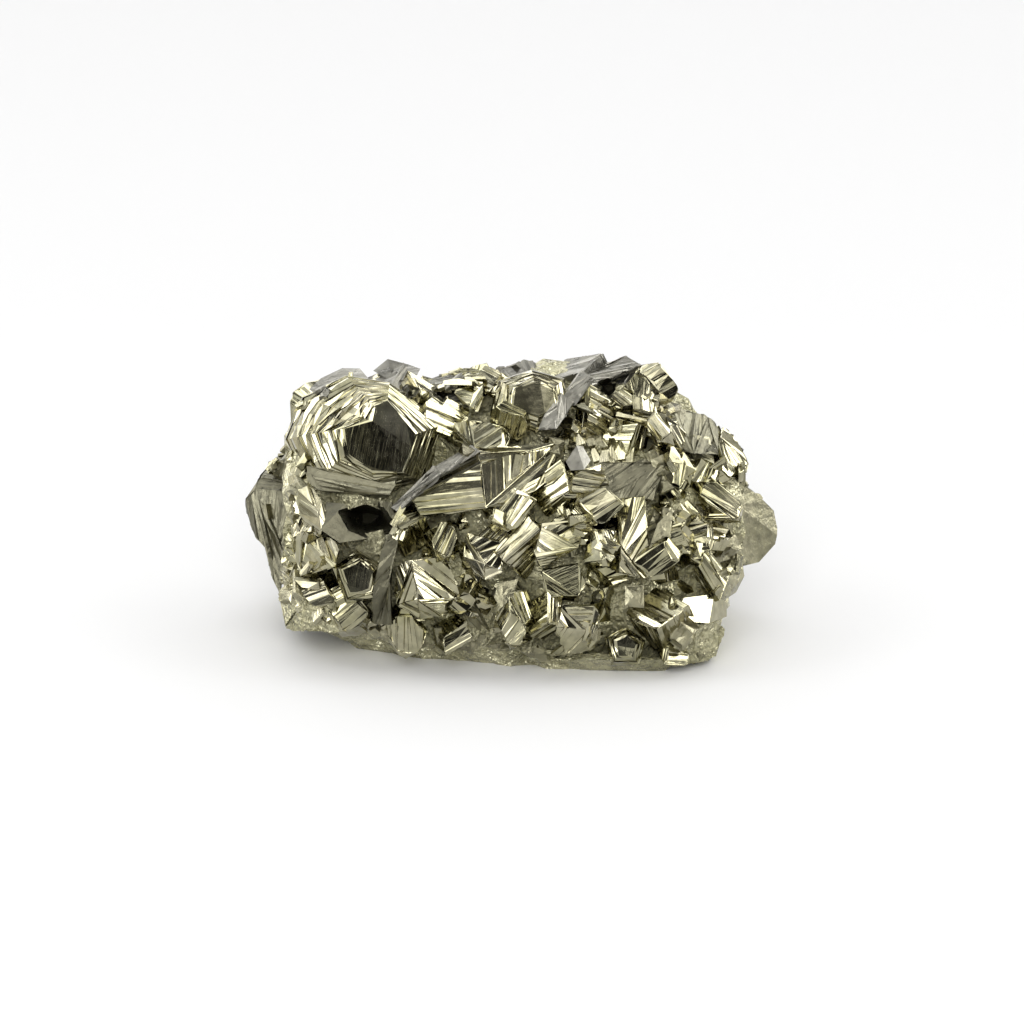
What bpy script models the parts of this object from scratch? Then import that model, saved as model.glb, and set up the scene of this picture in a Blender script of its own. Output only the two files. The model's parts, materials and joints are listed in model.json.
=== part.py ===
"""Pyrite specimen: one grown-together mass of striated crystals.

The mass is 60 mm wide along +X and rests on the flat patch of its underside at z = 0. Most of its
crystals grow on one side, which leans back from -Y: the front. Places on the front are given in
millimetres as (across, up, out): across runs along +X, out along the leaning front's own normal and
up at right angles to both. The rest is given as world millimetres.

The rock is a lofted core, great crystals with hand-set corners, smaller crystals of the habits that
pyrite grows in, and pits. All of them are united in one closed solid.
"""
import math
import random

import bmesh
import bpy
from mathutils import Matrix, Quaternion, Vector

MM = 0.001
CENTRE_HEIGHT = 15.0            # height of the front frame's centre over the underside
LEAN = math.radians(20.0)       # how far the front frame leans back
ROOT_DRAW = 0.72                # a great crystal narrows to this share at its root
WELD = 0.02                     # corners closer than this are one corner
SCATTER_SEED = 41

# Core stations along X: across, underside height, front foot y, front y, top front y, top back y,
# top height, back y.
STATIONS = (
    (-25.4, 3.6, -1.5, -3.6, 0.5, 5.6, 22.4, 7.0),
    (-23.0, 2.8, -2.8, -7.0, -0.5, 7.4, 25.0, 9.4),
    (-17.0, 1.2, -4.2, -9.6, 0.5, 9.2, 27.0, 11.8),
    (-10.0, -0.4, -6.0, -10.6, 1.5, 9.8, 27.2, 12.6),
    (-2.0, -0.4, -7.6, -11.0, 2.2, 9.8, 28.2, 12.6),
    (6.0, -0.4, -9.8, -11.4, 2.4, 9.4, 29.3, 12.2),
    (13.0, -0.4, -10.2, -11.0, 1.4, 8.6, 29.0, 12.0),
    (18.5, -0.4, -8.2, -9.4, 0.4, 7.4, 26.0, 11.0),
    (22.2, 0.6, -5.4, -7.4, 0.2, 6.2, 23.0, 9.6),
    (23.6, 5.0, -3.2, -5.2, 0.4, 5.4, 21.8, 8.2),
    (25.4, 8.4, -1.6, -3.0, 0.6, 4.4, 19.0, 6.2),
)

# Great crystals: root depth, then corners as (across, up, out). The first three lie on the lead face.
GREAT_CRYSTALS = {
    "crown": (10.0, (
        (-14.1, 11.6, 10.0), (-11.3, 8.0, 10.0), (-12.2, 4.6, 10.0), (-15.5, 4.4, 10.0),
        (-17.7, 6.0, 10.0), (-18.1, 8.8, 10.0), (-13.8, 13.5, 7.6), (-8.6, 11.3, 5.2),
        (-7.5, 8.3, 4.4), (-9.3, 8.1, 8.2), (-10.2, 4.1, 8.0), (-8.6, 5.2, 5.2),
        (-11.2, 2.1, 6.8), (-18.0, 1.7, 6.2), (-21.8, 3.2, 4.4), (-23.2, 6.2, 2.8),
        (-22.8, 10.0, 2.8), (-21.5, 12.4, 3.2), (-18.0, 14.8, 4.0),
    )),
    "left_wing": (8.0, (
        (-25.6, 5.0, 0.6), (-25.5, 10.6, -0.4), (-22.5, 7.0, 3.6), (-24.6, 12.0, -0.6),
        (-22.0, 12.8, 0.6), (-23.2, 3.4, 3.2), (-25.1, 3.9, 1.6),
    )),
    "left_shoulder": (4.0, (
        (-22.4, 13.4, -1.6), (-21.4, 14.9, -3.4), (-19.2, 15.8, -4.2), (-17.2, 15.6, -4.4),
        (-15.8, 14.6, -1.4), (-20.6, 12.2, 0.8),
    )),
    "left_knob": (3.6, (
        (-15.9, 15.5, -3.4), (-14.1, 16.6, -4.6), (-11.8, 16.6, -4.8), (-10.6, 16.0, -4.0),
        (-10.6, 14.6, -1.8), (-13.4, 14.4, -1.2),
    )),
    "lobe": (6.0, (
        (-28.9, 3.0, -4.6), (-25.2, 2.4, -1.6), (-25.2, -5.0, -0.8), (-30.0, 1.2, -6.2),
        (-27.4, 6.1, -7.4), (-26.3, 6.8, -7.2), (-25.8, -8.6, -1.6), (-26.6, -6.4, -2.6),
        (-28.2, -4.0, -4.2), (-29.7, -1.0, -6.0), (-24.2, 3.4, -2.2),
    )),
    "left_foot": (9.0, (
        (-25.4, -12.2, 1.4), (-25.9, -8.4, 1.0), (-23.2, -9.4, 7.6), (-23.6, -12.6, 5.4),
        (-19.0, -12.8, 8.2), (-19.6, -9.8, 9.6),
    )),
    "slant_block": (7.0, (
        (-24.3, 1.4, 4.6), (-21.4, 1.9, 8.0), (-22.2, -2.1, 9.6), (-24.4, -2.4, 7.0),
        (-22.4, 2.4, 5.6),
    )),
    "left_pyramid": (7.0, (
        (-18.6, 0.7, 9.6), (-21.2, -2.1, 10.8), (-15.6, -2.9, 11.4), (-18.7, -3.1, 12.0),
        (-20.6, 0.6, 8.2),
    )),
    "cracked_face": (7.0, (
        (-23.0, -2.6, 7.6), (-19.3, -2.9, 10.6), (-19.9, -6.2, 11.2), (-23.4, -6.6, 8.4),
        (-19.0, -4.0, 11.2),
    )),
    "seam_upper": (5.0, (
        (-14.5, 1.0, 10.8), (-13.3, 1.0, 10.8), (-13.0, -3.2, 12.6), (-14.1, -3.4, 12.6),
    )),
    "seam_middle": (5.0, (
        (-14.1, -3.0, 12.6), (-12.9, -3.0, 12.6), (-13.8, -8.2, 12.0), (-15.1, -8.0, 12.0),
    )),
    "seam_lower": (6.0, (
        (-15.0, -7.6, 12.0), (-13.6, -7.8, 12.0), (-13.9, -12.6, 9.8), (-15.7, -12.4, 9.8),
    )),
    "striped_pyramid": (7.0, (
        (-12.9, -5.6, 10.6), (-10.9, -5.0, 12.6), (-10.4, -9.8, 12.2), (-12.9, -10.2, 10.4),
        (-10.0, -11.6, 10.2), (-7.6, -11.2, 10.0), (-5.4, -9.2, 9.6), (-7.4, -5.0, 10.6),
    )),
    "table": (9.0, (
        (-3.1, 4.9, 12.4), (-3.1, 0.7, 13.4), (-11.2, 1.2, 11.6), (-10.4, -0.7, 12.2),
        (-9.2, 3.2, 11.0), (-4.2, 6.3, 11.4), (4.8, 7.3, 8.8), (5.4, 6.2, 8.4),
        (2.4, 2.2, 10.8), (0.8, 1.0, 11.6),
    )),
    "blade_lower": (7.0, (
        (-13.5, 0.2, 11.4), (-12.7, -0.3, 12.2), (-7.6, 3.9, 12.8), (-8.4, 4.6, 11.8),
    )),
    "blade_upper": (7.0, (
        (-8.6, 4.3, 11.8), (-7.8, 3.6, 12.8), (-3.4, 6.1, 12.0), (-4.4, 6.9, 11.0),
    )),
    "stripe_block": (8.0, (
        (-4.8, 10.0, 5.6), (-0.9, 9.2, 7.0), (-1.6, 6.0, 9.8), (-4.5, 6.8, 9.0),
        (-6.6, 7.6, 6.6), (-6.9, 9.2, 5.0), (0.0, 8.0, 7.0),
    )),
    "split_block": (7.0, (
        (-6.2, 13.2, 2.6), (-3.4, 14.0, 2.6), (-3.4, 11.0, 5.8), (-4.8, 11.8, 5.2),
        (-5.4, 14.2, 1.2), (-2.8, 12.2, 4.4),
    )),
    "dyke_lower": (6.0, (
        (3.0, 8.9, 8.4), (4.8, 9.0, 8.4), (6.8, 12.2, 6.0), (5.3, 13.0, 5.6),
    )),
    "dyke_middle": (6.0, (
        (5.2, 12.0, 5.8), (6.9, 11.6, 6.0), (9.3, 14.2, 3.2), (7.9, 15.4, 2.2),
    )),
    "dyke_upper": (6.0, (
        (7.6, 14.6, 2.6), (9.2, 13.6, 3.2), (14.6, 16.2, -1.2), (12.6, 17.2, -2.8),
    )),
    "window_face": (6.0, (
        (5.6, 5.8, 10.4), (7.0, 7.3, 9.6), (8.6, 5.5, 9.8), (7.8, 4.7, 10.8), (6.0, 4.7, 11.0),
        (7.8, 7.3, 9.2),
    )),
    "upper_right": (8.0, (
        (18.3, 11.4, 3.0), (22.2, 10.4, 0.6), (20.2, 6.1, 6.8), (23.2, 9.8, -0.6),
        (22.8, 6.0, 4.2), (18.0, 7.0, 6.6), (16.8, 9.4, 5.4), (17.4, 11.4, 3.4),
    )),
    "right_crest": (6.0, (
        (24.2, 9.3, -2.6), (26.8, 5.6, -2.4), (24.4, 3.4, 3.2), (25.3, 7.9, -2.8),
        (23.6, 8.0, 0.4), (26.2, 4.0, -0.4), (23.4, 4.4, 3.8),
    )),
    "nub": (6.0, (
        (25.4, 0.8, 0.8), (28.6, 1.4, -3.4), (28.0, -4.8, -2.6), (25.6, 3.2, -0.8),
        (27.4, 2.7, -3.2), (29.8, 0.5, -4.6), (30.0, -1.6, -4.8), (29.8, -3.4, -4.6),
        (25.2, -5.8, 0.4), (24.6, -1.0, 1.6),
    )),
    "right_flank": (9.0, (
        (23.4, -1.4, 4.6), (26.0, -6.6, 0.2), (23.6, -9.4, 4.6), (25.2, -8.9, 0.6),
        (25.2, -1.2, 1.8), (21.4, -9.8, 7.0),
    )),
    "mirror": (7.0, (
        (18.4, -10.4, 10.0), (22.4, -8.8, 8.2), (21.8, -11.9, 9.2), (19.0, -9.2, 9.2),
        (20.2, -11.8, 9.9), (23.9, -9.7, 5.4), (23.9, -11.2, 5.4),
    )),
    "right_foot": (9.0, (
        (22.6, -11.6, 7.4), (23.7, -12.4, 5.0), (22.4, -15.6, 5.0), (21.4, -16.3, 5.2),
        (17.8, -16.5, 6.4), (18.6, -12.6, 9.4),
    )),
    "olive_blade": (6.0, (
        (17.9, 0.2, 9.6), (15.2, -3.6, 11.8), (15.4, -7.4, 11.8), (16.1, -1.2, 10.6),
        (16.6, -5.0, 12.0), (17.4, -2.8, 11.4),
    )),
    "tent": (6.0, (
        (8.6, -1.8, 11.8), (7.7, -5.4, 11.8), (9.9, -5.1, 13.2), (11.1, -2.0, 11.8),
        (11.7, -3.3, 11.6), (10.9, -4.6, 12.4),
    )),
    "bar_panel": (7.0, (
        (3.0, -1.4, 11.6), (7.8, -0.8, 11.8), (7.4, -3.8, 12.8), (3.2, -5.6, 12.6),
        (2.2, -4.0, 12.2),
    )),
    "dark_panel": (7.0, (
        (3.2, -6.0, 12.2), (7.2, -5.6, 12.0), (7.2, -9.2, 11.8), (3.6, -9.6, 11.6),
        (7.9, -7.4, 11.2),
    )),
    "fan": (8.0, (
        (5.2, -10.2, 11.8), (9.4, -9.8, 11.6), (8.2, -12.8, 11.6), (5.0, -12.4, 11.4),
        (5.6, -15.0, 9.4), (8.2, -14.8, 9.2), (9.9, -11.6, 10.6),
    )),
    "golden_shelf": (7.0, (
        (11.6, 1.0, 10.8), (15.0, 1.4, 10.4), (15.2, -6.8, 11.4), (12.0, -6.6, 11.8),
        (11.8, -3.4, 12.2),
    )),
    "fibre_panel": (7.0, (
        (9.6, 5.4, 8.8), (16.6, 5.2, 8.2), (15.8, 1.2, 10.2), (10.2, 1.0, 11.0),
    )),
    "pale_knob": (6.0, (
        (12.6, -7.8, 11.2), (14.9, -7.6, 11.0), (14.6, -10.0, 10.8), (12.7, -9.9, 11.2),
        (13.7, -8.8, 12.0),
    )),
    "green_face": (6.0, (
        (-1.9, -7.8, 11.4), (0.9, -7.2, 11.4), (-0.8, -10.3, 11.6), (0.4, -9.2, 11.6),
        (-2.1, -9.0, 11.2),
    )),
    "pale_slabs": (6.0, (
        (-4.8, -2.4, 11.2), (-1.4, -3.0, 11.6), (-2.8, -5.6, 12.4), (-5.0, -4.8, 11.8),
        (-1.2, -6.6, 12.2), (-2.9, -7.4, 11.8),
    )),
    "underlip": (7.0, (
        (1.0, -16.4, 5.4), (8.0, -17.5, 4.2), (16.6, -17.2, 4.6), (18.6, -15.6, 7.0),
        (12.0, -15.8, 8.2), (3.0, -14.6, 8.6),
    )),
}


# Habits: outward directions of the faces that bound them (each has its opposite too), and the share
# of the crystal's half size at which each face lies.
CUBE = (((1, 0, 0), 1.0), ((0, 1, 0), 1.0), ((0, 0, 1), 1.0))
PYRITOHEDRON = (
    ((0, 1, 2), 1.0), ((0, -1, 2), 1.0), ((1, 2, 0), 1.0),
    ((-1, 2, 0), 1.0), ((2, 0, 1), 1.0), ((2, 0, -1), 1.0),
)
CORNER_CUTS = (((1, 1, 1), 1.3), ((-1, 1, 1), 1.3), ((1, -1, 1), 1.3), ((1, 1, -1), 1.3))
EDGE_CUTS = tuple((direction, 1.1) for direction, _ in PYRITOHEDRON)
BLUNT_CUBE = CUBE + CORNER_CUTS
BEVELLED_CUBE = CUBE + EDGE_CUTS


# Crystals on the front: habit, centre (across, up, out), half size, facing (across, up, out), turn.
FRONT_CRYSTALS = (
    (PYRITOHEDRON, (-17.0, -6.8, 9.6), 2.7, (0.1, 0.1, 1.0), 20),
    (BEVELLED_CUBE, (2.3, 12.6, 2.8), 2.7, (0.1, -0.2, 1.0), 10),
    (PYRITOHEDRON, (12.5, -14.2, 7.6), 2.1, (0.2, -0.1, 1.0), 35),
    (CUBE, (12.4, 12.0, 3.2), 1.3, (-0.3, 0.6, 1.0), 30),
    (BEVELLED_CUBE, (14.8, 11.0, 3.2), 1.9, (0.1, 0.4, 1.0), 0),
    (CUBE, (9.6, 9.8, 4.4), 1.9, (0.8, 0.5, 1.0), 15),
    (BEVELLED_CUBE, (16.0, 13.6, -1.4), 1.8, (0.3, 0.6, 1.0), 50),
    (BLUNT_CUBE, (22.3, 0.8, 4.8), 2.1, (0.4, 0.3, 1.0), 20),
    (BEVELLED_CUBE, (20.9, -5.4, 6.6), 3.1, (0.3, 0.0, 1.0), 25),
    (PYRITOHEDRON, (18.2, -3.6, 8.8), 2.0, (-0.3, 0.3, 1.0), 10),
    (BLUNT_CUBE, (18.2, 3.8, 6.6), 1.8, (0.0, 0.3, 1.0), 40),
    (CUBE, (16.6, -11.8, 7.6), 2.1, (-0.7, 0.6, 1.0), 25),
    (BEVELLED_CUBE, (18.0, -14.6, 6.6), 1.7, (0.2, 0.0, 1.0), 5),
    (PYRITOHEDRON, (0.6, -11.6, 9.8), 2.0, (-0.2, 0.1, 1.0), 30),
    (CUBE, (3.6, -11.2, 10.0), 1.3, (0.6, 0.7, 1.0), 40),
    (BEVELLED_CUBE, (-21.0, -8.4, 7.6), 2.1, (-0.3, 0.2, 1.0), 15),
    (CUBE, (-11.6, -2.0, 9.6), 1.9, (-0.5, 0.8, 1.0), 20),
    (BLUNT_CUBE, (-7.6, -3.2, 10.0), 2.2, (0.1, 0.4, 1.0), 45),
    (CUBE, (0.6, -3.2, 9.8), 2.1, (-0.8, 0.6, 1.0), 30),
    (BEVELLED_CUBE, (-0.2, 0.4, 10.6), 1.9, (0.2, 0.2, 1.0), 60),
    (CUBE, (5.4, 2.2, 8.8), 2.2, (0.7, 0.6, 1.0), 20),
    (BLUNT_CUBE, (8.6, 2.8, 9.2), 2.1, (-0.2, 0.4, 1.0), 10),
    (BEVELLED_CUBE, (9.6, 0.0, 10.4), 1.9, (0.1, 0.5, 1.0), 35),
    (CUBE, (-1.8, 13.8, -0.4), 1.6, (-0.7, 0.4, 1.0), 25),
    (CUBE, (-9.2, 11.9, 1.8), 2.0, (0.6, 0.5, 1.0), 15),
    (BEVELLED_CUBE, (0.2, 9.8, 5.0), 2.0, (-0.2, -0.1, 1.0), 55),
    (CUBE, (12.6, 7.4, 5.4), 2.3, (-0.6, 0.8, 1.0), 50),
    (BLUNT_CUBE, (-12.2, -12.8, 8.0), 1.8, (-0.1, -0.2, 1.0), 30),
    (CUBE, (-5.8, -12.6, 8.2), 2.2, (0.5, -0.6, 1.0), 20),
    (BEVELLED_CUBE, (-18.4, -10.6, 7.6), 2.0, (-0.2, 0.0, 1.0), 40),
    (CUBE, (-8.4, 9.2, 3.2), 2.1, (0.7, 0.3, 1.0), 10),
)

# Crystals on the other sides: where on the core (across, share of the way round), half size, how far
# the crystal stands out of the core, habit.
ROUND_CRYSTALS = (
    (-21.0, 0.60, 4.0, 1.4, BEVELLED_CUBE),
    (-13.0, 0.66, 5.4, 1.9, PYRITOHEDRON),
    (-4.0, 0.60, 4.0, 1.4, CUBE),
    (4.0, 0.69, 6.0, 2.0, BEVELLED_CUBE),
    (13.0, 0.63, 4.6, 1.7, CUBE),
    (21.0, 0.67, 3.8, 1.6, BLUNT_CUBE),
    (-19.5, 0.75, 4.6, 1.7, CUBE),
    (-9.0, 0.77, 4.4, 1.9, BLUNT_CUBE),
    (-1.5, 0.79, 3.8, 1.6, BEVELLED_CUBE),
    (10.0, 0.77, 5.0, 2.0, PYRITOHEDRON),
    (18.0, 0.79, 4.2, 1.6, BEVELLED_CUBE),
    (-15.0, 0.51, 3.0, 0.9, CUBE),
    (-6.5, 0.50, 2.8, 0.8, BEVELLED_CUBE),
    (0.5, 0.51, 3.0, 0.8, BLUNT_CUBE),
    (8.0, 0.52, 2.8, 0.7, CUBE),
    (14.5, 0.52, 3.0, 0.8, BEVELLED_CUBE),
    (-24.0, 0.70, 3.2, 1.2, BEVELLED_CUBE),
    (23.0, 0.64, 3.0, 0.9, CUBE),
    (24.2, 0.74, 2.8, 1.2, BEVELLED_CUBE),
    (-24.0, 0.82, 2.8, 1.2, CUBE),
)

# Pits: centre (across, up), half width, half height, how far out their mouth and their floor lie.
PITS = (
    ((-15.9, -0.7), 2.4, 2.1, 8.6, 1.0),
    ((10.9, 14.0), 1.1, 0.9, 1.4, -3.0),
    ((14.2, 13.8), 1.3, 1.1, 1.2, -3.0),
    ((17.6, 2.3), 1.0, 1.1, 8.6, 4.6),
    ((-3.3, -8.9), 1.8, 1.5, 11.0, 6.0),
    ((-6.3, -10.4), 1.0, 0.8, 10.4, 6.0),
    ((-11.6, 13.3), 1.1, 0.8, 1.8, -3.0),
    ((-7.6, 13.4), 1.1, 0.9, 1.8, -3.0),
)


def front(across, up, out):
    """Return the world place, in metres, of a place on the front frame in millimetres."""
    back = up * math.sin(LEAN) - out * math.cos(LEAN)
    height = CENTRE_HEIGHT + up * math.cos(LEAN) + out * math.sin(LEAN)
    return Vector((across, back, height)) * MM


def station_at(across):
    """Return the core's section values at a place along X, between its stations."""
    for low, high in zip(STATIONS, STATIONS[1:]):
        if across <= high[0]:
            break
    share = (across - low[0]) / (high[0] - low[0])
    return [a + (b - a) * share for a, b in zip(low, high)]


def section_loop(values):
    """Return the (y, z) corners of one core section, round from the front foot by the front and top."""
    _, foot, front_foot, front_y, top_front, top_back, top, back = values
    tall = top - foot
    return (
        (front_foot, foot),
        (front_y, foot + 0.20 * tall),
        (front_y, foot + 0.48 * tall),
        (0.6 * front_y + 0.4 * top_front, foot + 0.76 * tall),
        (top_front + 2.0, foot + 0.97 * tall),
        (top_back, top),
        (back - 0.8, foot + 0.74 * tall),
        (back, foot + 0.34 * tall),
        (0.72 * back, foot),
    )


def core_place(across, share):
    """Return the world place, in millimetres, at a share of the way round the core's section."""
    loop = section_loop(station_at(across))
    step, part = divmod((share % 1.0) * len(loop), 1.0)
    here = Vector(loop[int(step)])
    there = Vector(loop[(int(step) + 1) % len(loop)])
    mixed = here.lerp(there, part)
    return Vector((across, mixed.x, mixed.y))


def core_facing(across, share):
    """Return the outward direction of the core's surface at a place on it."""
    along = core_place(across + 0.4, share) - core_place(across - 0.4, share)
    round_it = core_place(across, share + 0.02) - core_place(across, share - 0.02)
    return along.cross(round_it).normalized()


def mesh_object(name, shape):
    """Make a mesh object from a bmesh and free the bmesh."""
    mesh = bpy.data.meshes.new(name)
    bmesh.ops.recalc_face_normals(shape, faces=shape.faces)
    shape.to_mesh(mesh)
    shape.free()
    rock = bpy.data.objects.new(name, mesh)
    bpy.context.scene.collection.objects.link(rock)
    return rock


def make_core():
    """Loft the core through its stations, with low ledges from a seeded jitter."""
    chance = random.Random(SCATTER_SEED)
    shape = bmesh.new()
    rings = []
    for values in STATIONS:
        ring = []
        for y, z in section_loop(values):
            nudge = Vector([chance.uniform(-0.5, 0.5) for _ in range(3)])
            ring.append(shape.verts.new((Vector((values[0], y, z)) + nudge) * MM))
        rings.append(ring)
    for ring, following in zip(rings, rings[1:]):
        for i, corner in enumerate(ring):
            j = (i + 1) % len(ring)
            shape.faces.new((corner, ring[j], following[j], following[i]))
    shape.faces.new(rings[0])
    shape.faces.new(rings[-1])
    bmesh.ops.triangulate(shape, faces=shape.faces)
    return mesh_object("core", shape)


def make_great(name, root_depth, corners):
    """Make a great crystal: the convex solid of its corners and of their drawn-in roots."""
    middle = sum((Vector(corner) for corner in corners), Vector()) / len(corners)
    shape = bmesh.new()
    for corner in corners:
        shape.verts.new(front(*corner))
        drawn = middle.lerp(Vector(corner), ROOT_DRAW)
        shape.verts.new(front(drawn.x, drawn.y, middle.z - root_depth))
    hull = bmesh.ops.convex_hull(shape, input=shape.verts)
    inner = [item for item in hull["geom_interior"] if isinstance(item, bmesh.types.BMVert)]
    bmesh.ops.delete(shape, geom=inner, context="VERTS")
    return mesh_object(name, shape)


def make_habit(name, habit, centre, half, turned):
    """Make a crystal of a habit: a block cut by the habit's faces."""
    shape = bmesh.new()
    bmesh.ops.create_cube(shape, size=half * 2.6 * MM)
    for direction, distance in habit:
        for side in (1, -1):
            facing = Vector(direction).normalized() * side
            cut = bmesh.ops.bisect_plane(
                shape, geom=shape.verts[:] + shape.edges[:] + shape.faces[:],
                plane_co=facing * distance * half * MM, plane_no=facing, clear_outer=True,
            )
            rim = [item for item in cut["geom_cut"] if isinstance(item, bmesh.types.BMEdge)]
            if rim:
                bmesh.ops.contextual_create(shape, geom=rim)
    shape.transform(Matrix.Translation(centre) @ turned.to_matrix().to_4x4())
    return mesh_object(name, shape)


def turned_to(facing, turn):
    """Return the rotation that faces a crystal's Z axis along a direction and turns it about it."""
    upright = Vector((0, 0, 1)).rotation_difference(facing)
    return upright @ Quaternion((0, 0, 1), math.radians(turn))


def make_pit(name, centre, half_width, half_height, mouth_out, floor_out):
    """Make a pit's cutter: a six-sided hole that narrows from its mouth to its floor."""
    shape = bmesh.new()
    for i in range(6):
        angle = math.radians(60 * i + 12)
        for widening, out in ((1.5, mouth_out + 4.0), (1.0, mouth_out), (0.45, floor_out)):
            across = centre[0] + widening * half_width * math.cos(angle)
            up = centre[1] + widening * half_height * math.sin(angle)
            shape.verts.new(front(across, up, out))
    bmesh.ops.convex_hull(shape, input=shape.verts)
    return mesh_object(name, shape)


def apply_boolean(target, tools, operation, solver="EXACT"):
    """Join or cut the target with each tool and remove the tools."""
    for tool in tools:
        change = target.modifiers.new(operation.lower(), "BOOLEAN")
        change.operation = operation
        change.solver = solver
        change.object = tool
        reading = target.evaluated_get(bpy.context.evaluated_depsgraph_get())
        changed = bpy.data.meshes.new_from_object(reading)
        target.modifiers.clear()
        target.data = changed
        bpy.data.objects.remove(tool)


def keep_outer_skin(rock):
    """Weld near corners and keep the one outer shell, so that no hollow is sealed in."""
    shape = bmesh.new()
    shape.from_mesh(rock.data)
    bmesh.ops.remove_doubles(shape, verts=shape.verts, dist=WELD * MM)
    bmesh.ops.dissolve_degenerate(shape, edges=shape.edges, dist=WELD * MM)
    bmesh.ops.triangulate(shape, faces=shape.faces)
    unseen = set(shape.faces)
    shells = []
    while unseen:
        shell = [unseen.pop()]
        for face in shell:
            for edge in face.edges:
                for other in edge.link_faces:
                    if other in unseen:
                        unseen.remove(other)
                        shell.append(other)
        shells.append(shell)
    shells.sort(key=len)
    extra = [face for shell in shells[:-1] for face in shell]
    bmesh.ops.delete(shape, geom=extra, context="FACES")
    shape.to_mesh(rock.data)
    shape.free()


def make_underside_cutter():
    """Make the block that cuts the underside flat at z = 0."""
    shape = bmesh.new()
    bmesh.ops.create_cube(shape, size=1.0)
    size = Vector((90.0, 60.0, 20.0)) * MM
    shape.transform(Matrix.Translation((0, 0, -size.z / 2)) @ Matrix.Diagonal(size).to_4x4())
    return mesh_object("underside_cutter", shape)


def pyrite_material():
    """Make the pyrite's own material: pale brass metal."""
    material = bpy.data.materials.new("pyrite")
    material.use_nodes = True
    shader = material.node_tree.nodes["Principled BSDF"]
    shader.inputs["Base Color"].default_value = (0.62, 0.57, 0.36, 1.0)
    shader.inputs["Metallic"].default_value = 1.0
    shader.inputs["Roughness"].default_value = 0.25
    return material


def main():
    """Build the specimen."""
    for existing in list(bpy.data.objects):
        bpy.data.objects.remove(existing)
    rock = make_core()
    rock.name = "pyrite_cluster"
    crystals = [make_great(name, root, corners) for name, (root, corners) in GREAT_CRYSTALS.items()]
    outward = front(0, 0, 1) - front(0, 0, 0)
    upward = front(0, 1, 0) - front(0, 0, 0)
    for number, (habit, centre, half, facing, turn) in enumerate(FRONT_CRYSTALS):
        direction = Vector((facing[0] * MM, 0, 0)) + upward * facing[1] + outward * facing[2]
        turned = turned_to(direction.normalized(), turn)
        crystals.append(make_habit(f"front_crystal_{number}", habit, front(*centre), half, turned))
    chance = random.Random(SCATTER_SEED)
    for number, (across, share, half, rise, habit) in enumerate(ROUND_CRYSTALS):
        facing = core_facing(across, share)
        centre = (core_place(across, share) - facing * (half - rise)) * MM
        tipped = Quaternion((1, 0, 0), chance.uniform(-0.5, 0.5))
        turned = turned_to(facing, chance.uniform(0, 90)) @ tipped
        crystals.append(make_habit(f"round_crystal_{number}", habit, centre, half, turned))
    apply_boolean(rock, crystals, "UNION")
    pits = [make_pit(f"pit_{number}", *pit) for number, pit in enumerate(PITS)]
    apply_boolean(rock, pits + [make_underside_cutter()], "DIFFERENCE", solver="MANIFOLD")
    keep_outer_skin(rock)
    rock.data.materials.clear()
    rock.data.materials.append(pyrite_material())


main()
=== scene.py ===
"""Pyrite specimen: the finished look of one grown-together mass of striated crystals.

The mass is modelled in millimetres in a workshop of its own, joined to one closed rock and then
brought to its real size. Its crystal front leans back from -Y, so places on the front are given as
(across, up, out) in a leaning frame, and places round the rest of the rock by where they lie on the
core's sections.
"""
import json
import logging
import math
import random
from collections.abc import Callable
from dataclasses import dataclass, field
from enum import Enum
from itertools import combinations

import bmesh
import bpy
import numpy as np
from mathutils import Matrix, Quaternion, Vector
from mathutils.bvhtree import BVHTree

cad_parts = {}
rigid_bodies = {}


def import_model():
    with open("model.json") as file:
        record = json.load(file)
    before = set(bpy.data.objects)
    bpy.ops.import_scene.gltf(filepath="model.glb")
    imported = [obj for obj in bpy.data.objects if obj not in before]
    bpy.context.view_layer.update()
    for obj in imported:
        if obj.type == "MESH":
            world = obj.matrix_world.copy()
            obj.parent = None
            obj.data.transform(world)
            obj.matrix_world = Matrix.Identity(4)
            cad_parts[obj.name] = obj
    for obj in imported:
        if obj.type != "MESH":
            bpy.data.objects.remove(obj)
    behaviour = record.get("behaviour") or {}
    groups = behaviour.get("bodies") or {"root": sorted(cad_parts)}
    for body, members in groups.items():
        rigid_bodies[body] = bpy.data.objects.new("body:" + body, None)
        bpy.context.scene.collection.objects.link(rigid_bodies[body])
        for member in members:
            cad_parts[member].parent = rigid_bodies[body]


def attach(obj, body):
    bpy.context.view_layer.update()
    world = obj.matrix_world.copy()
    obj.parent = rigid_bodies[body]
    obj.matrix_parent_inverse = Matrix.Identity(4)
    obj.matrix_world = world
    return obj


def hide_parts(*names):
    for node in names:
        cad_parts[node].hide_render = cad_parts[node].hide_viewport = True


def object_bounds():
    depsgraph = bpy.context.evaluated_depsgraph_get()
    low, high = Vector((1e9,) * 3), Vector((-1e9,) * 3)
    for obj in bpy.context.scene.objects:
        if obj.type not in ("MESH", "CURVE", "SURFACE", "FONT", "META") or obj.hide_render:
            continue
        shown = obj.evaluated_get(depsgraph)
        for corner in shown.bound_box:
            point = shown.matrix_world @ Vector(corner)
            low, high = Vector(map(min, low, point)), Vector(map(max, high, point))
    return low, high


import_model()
CAD_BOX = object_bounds()

log = logging.getLogger("pyrite")

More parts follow.
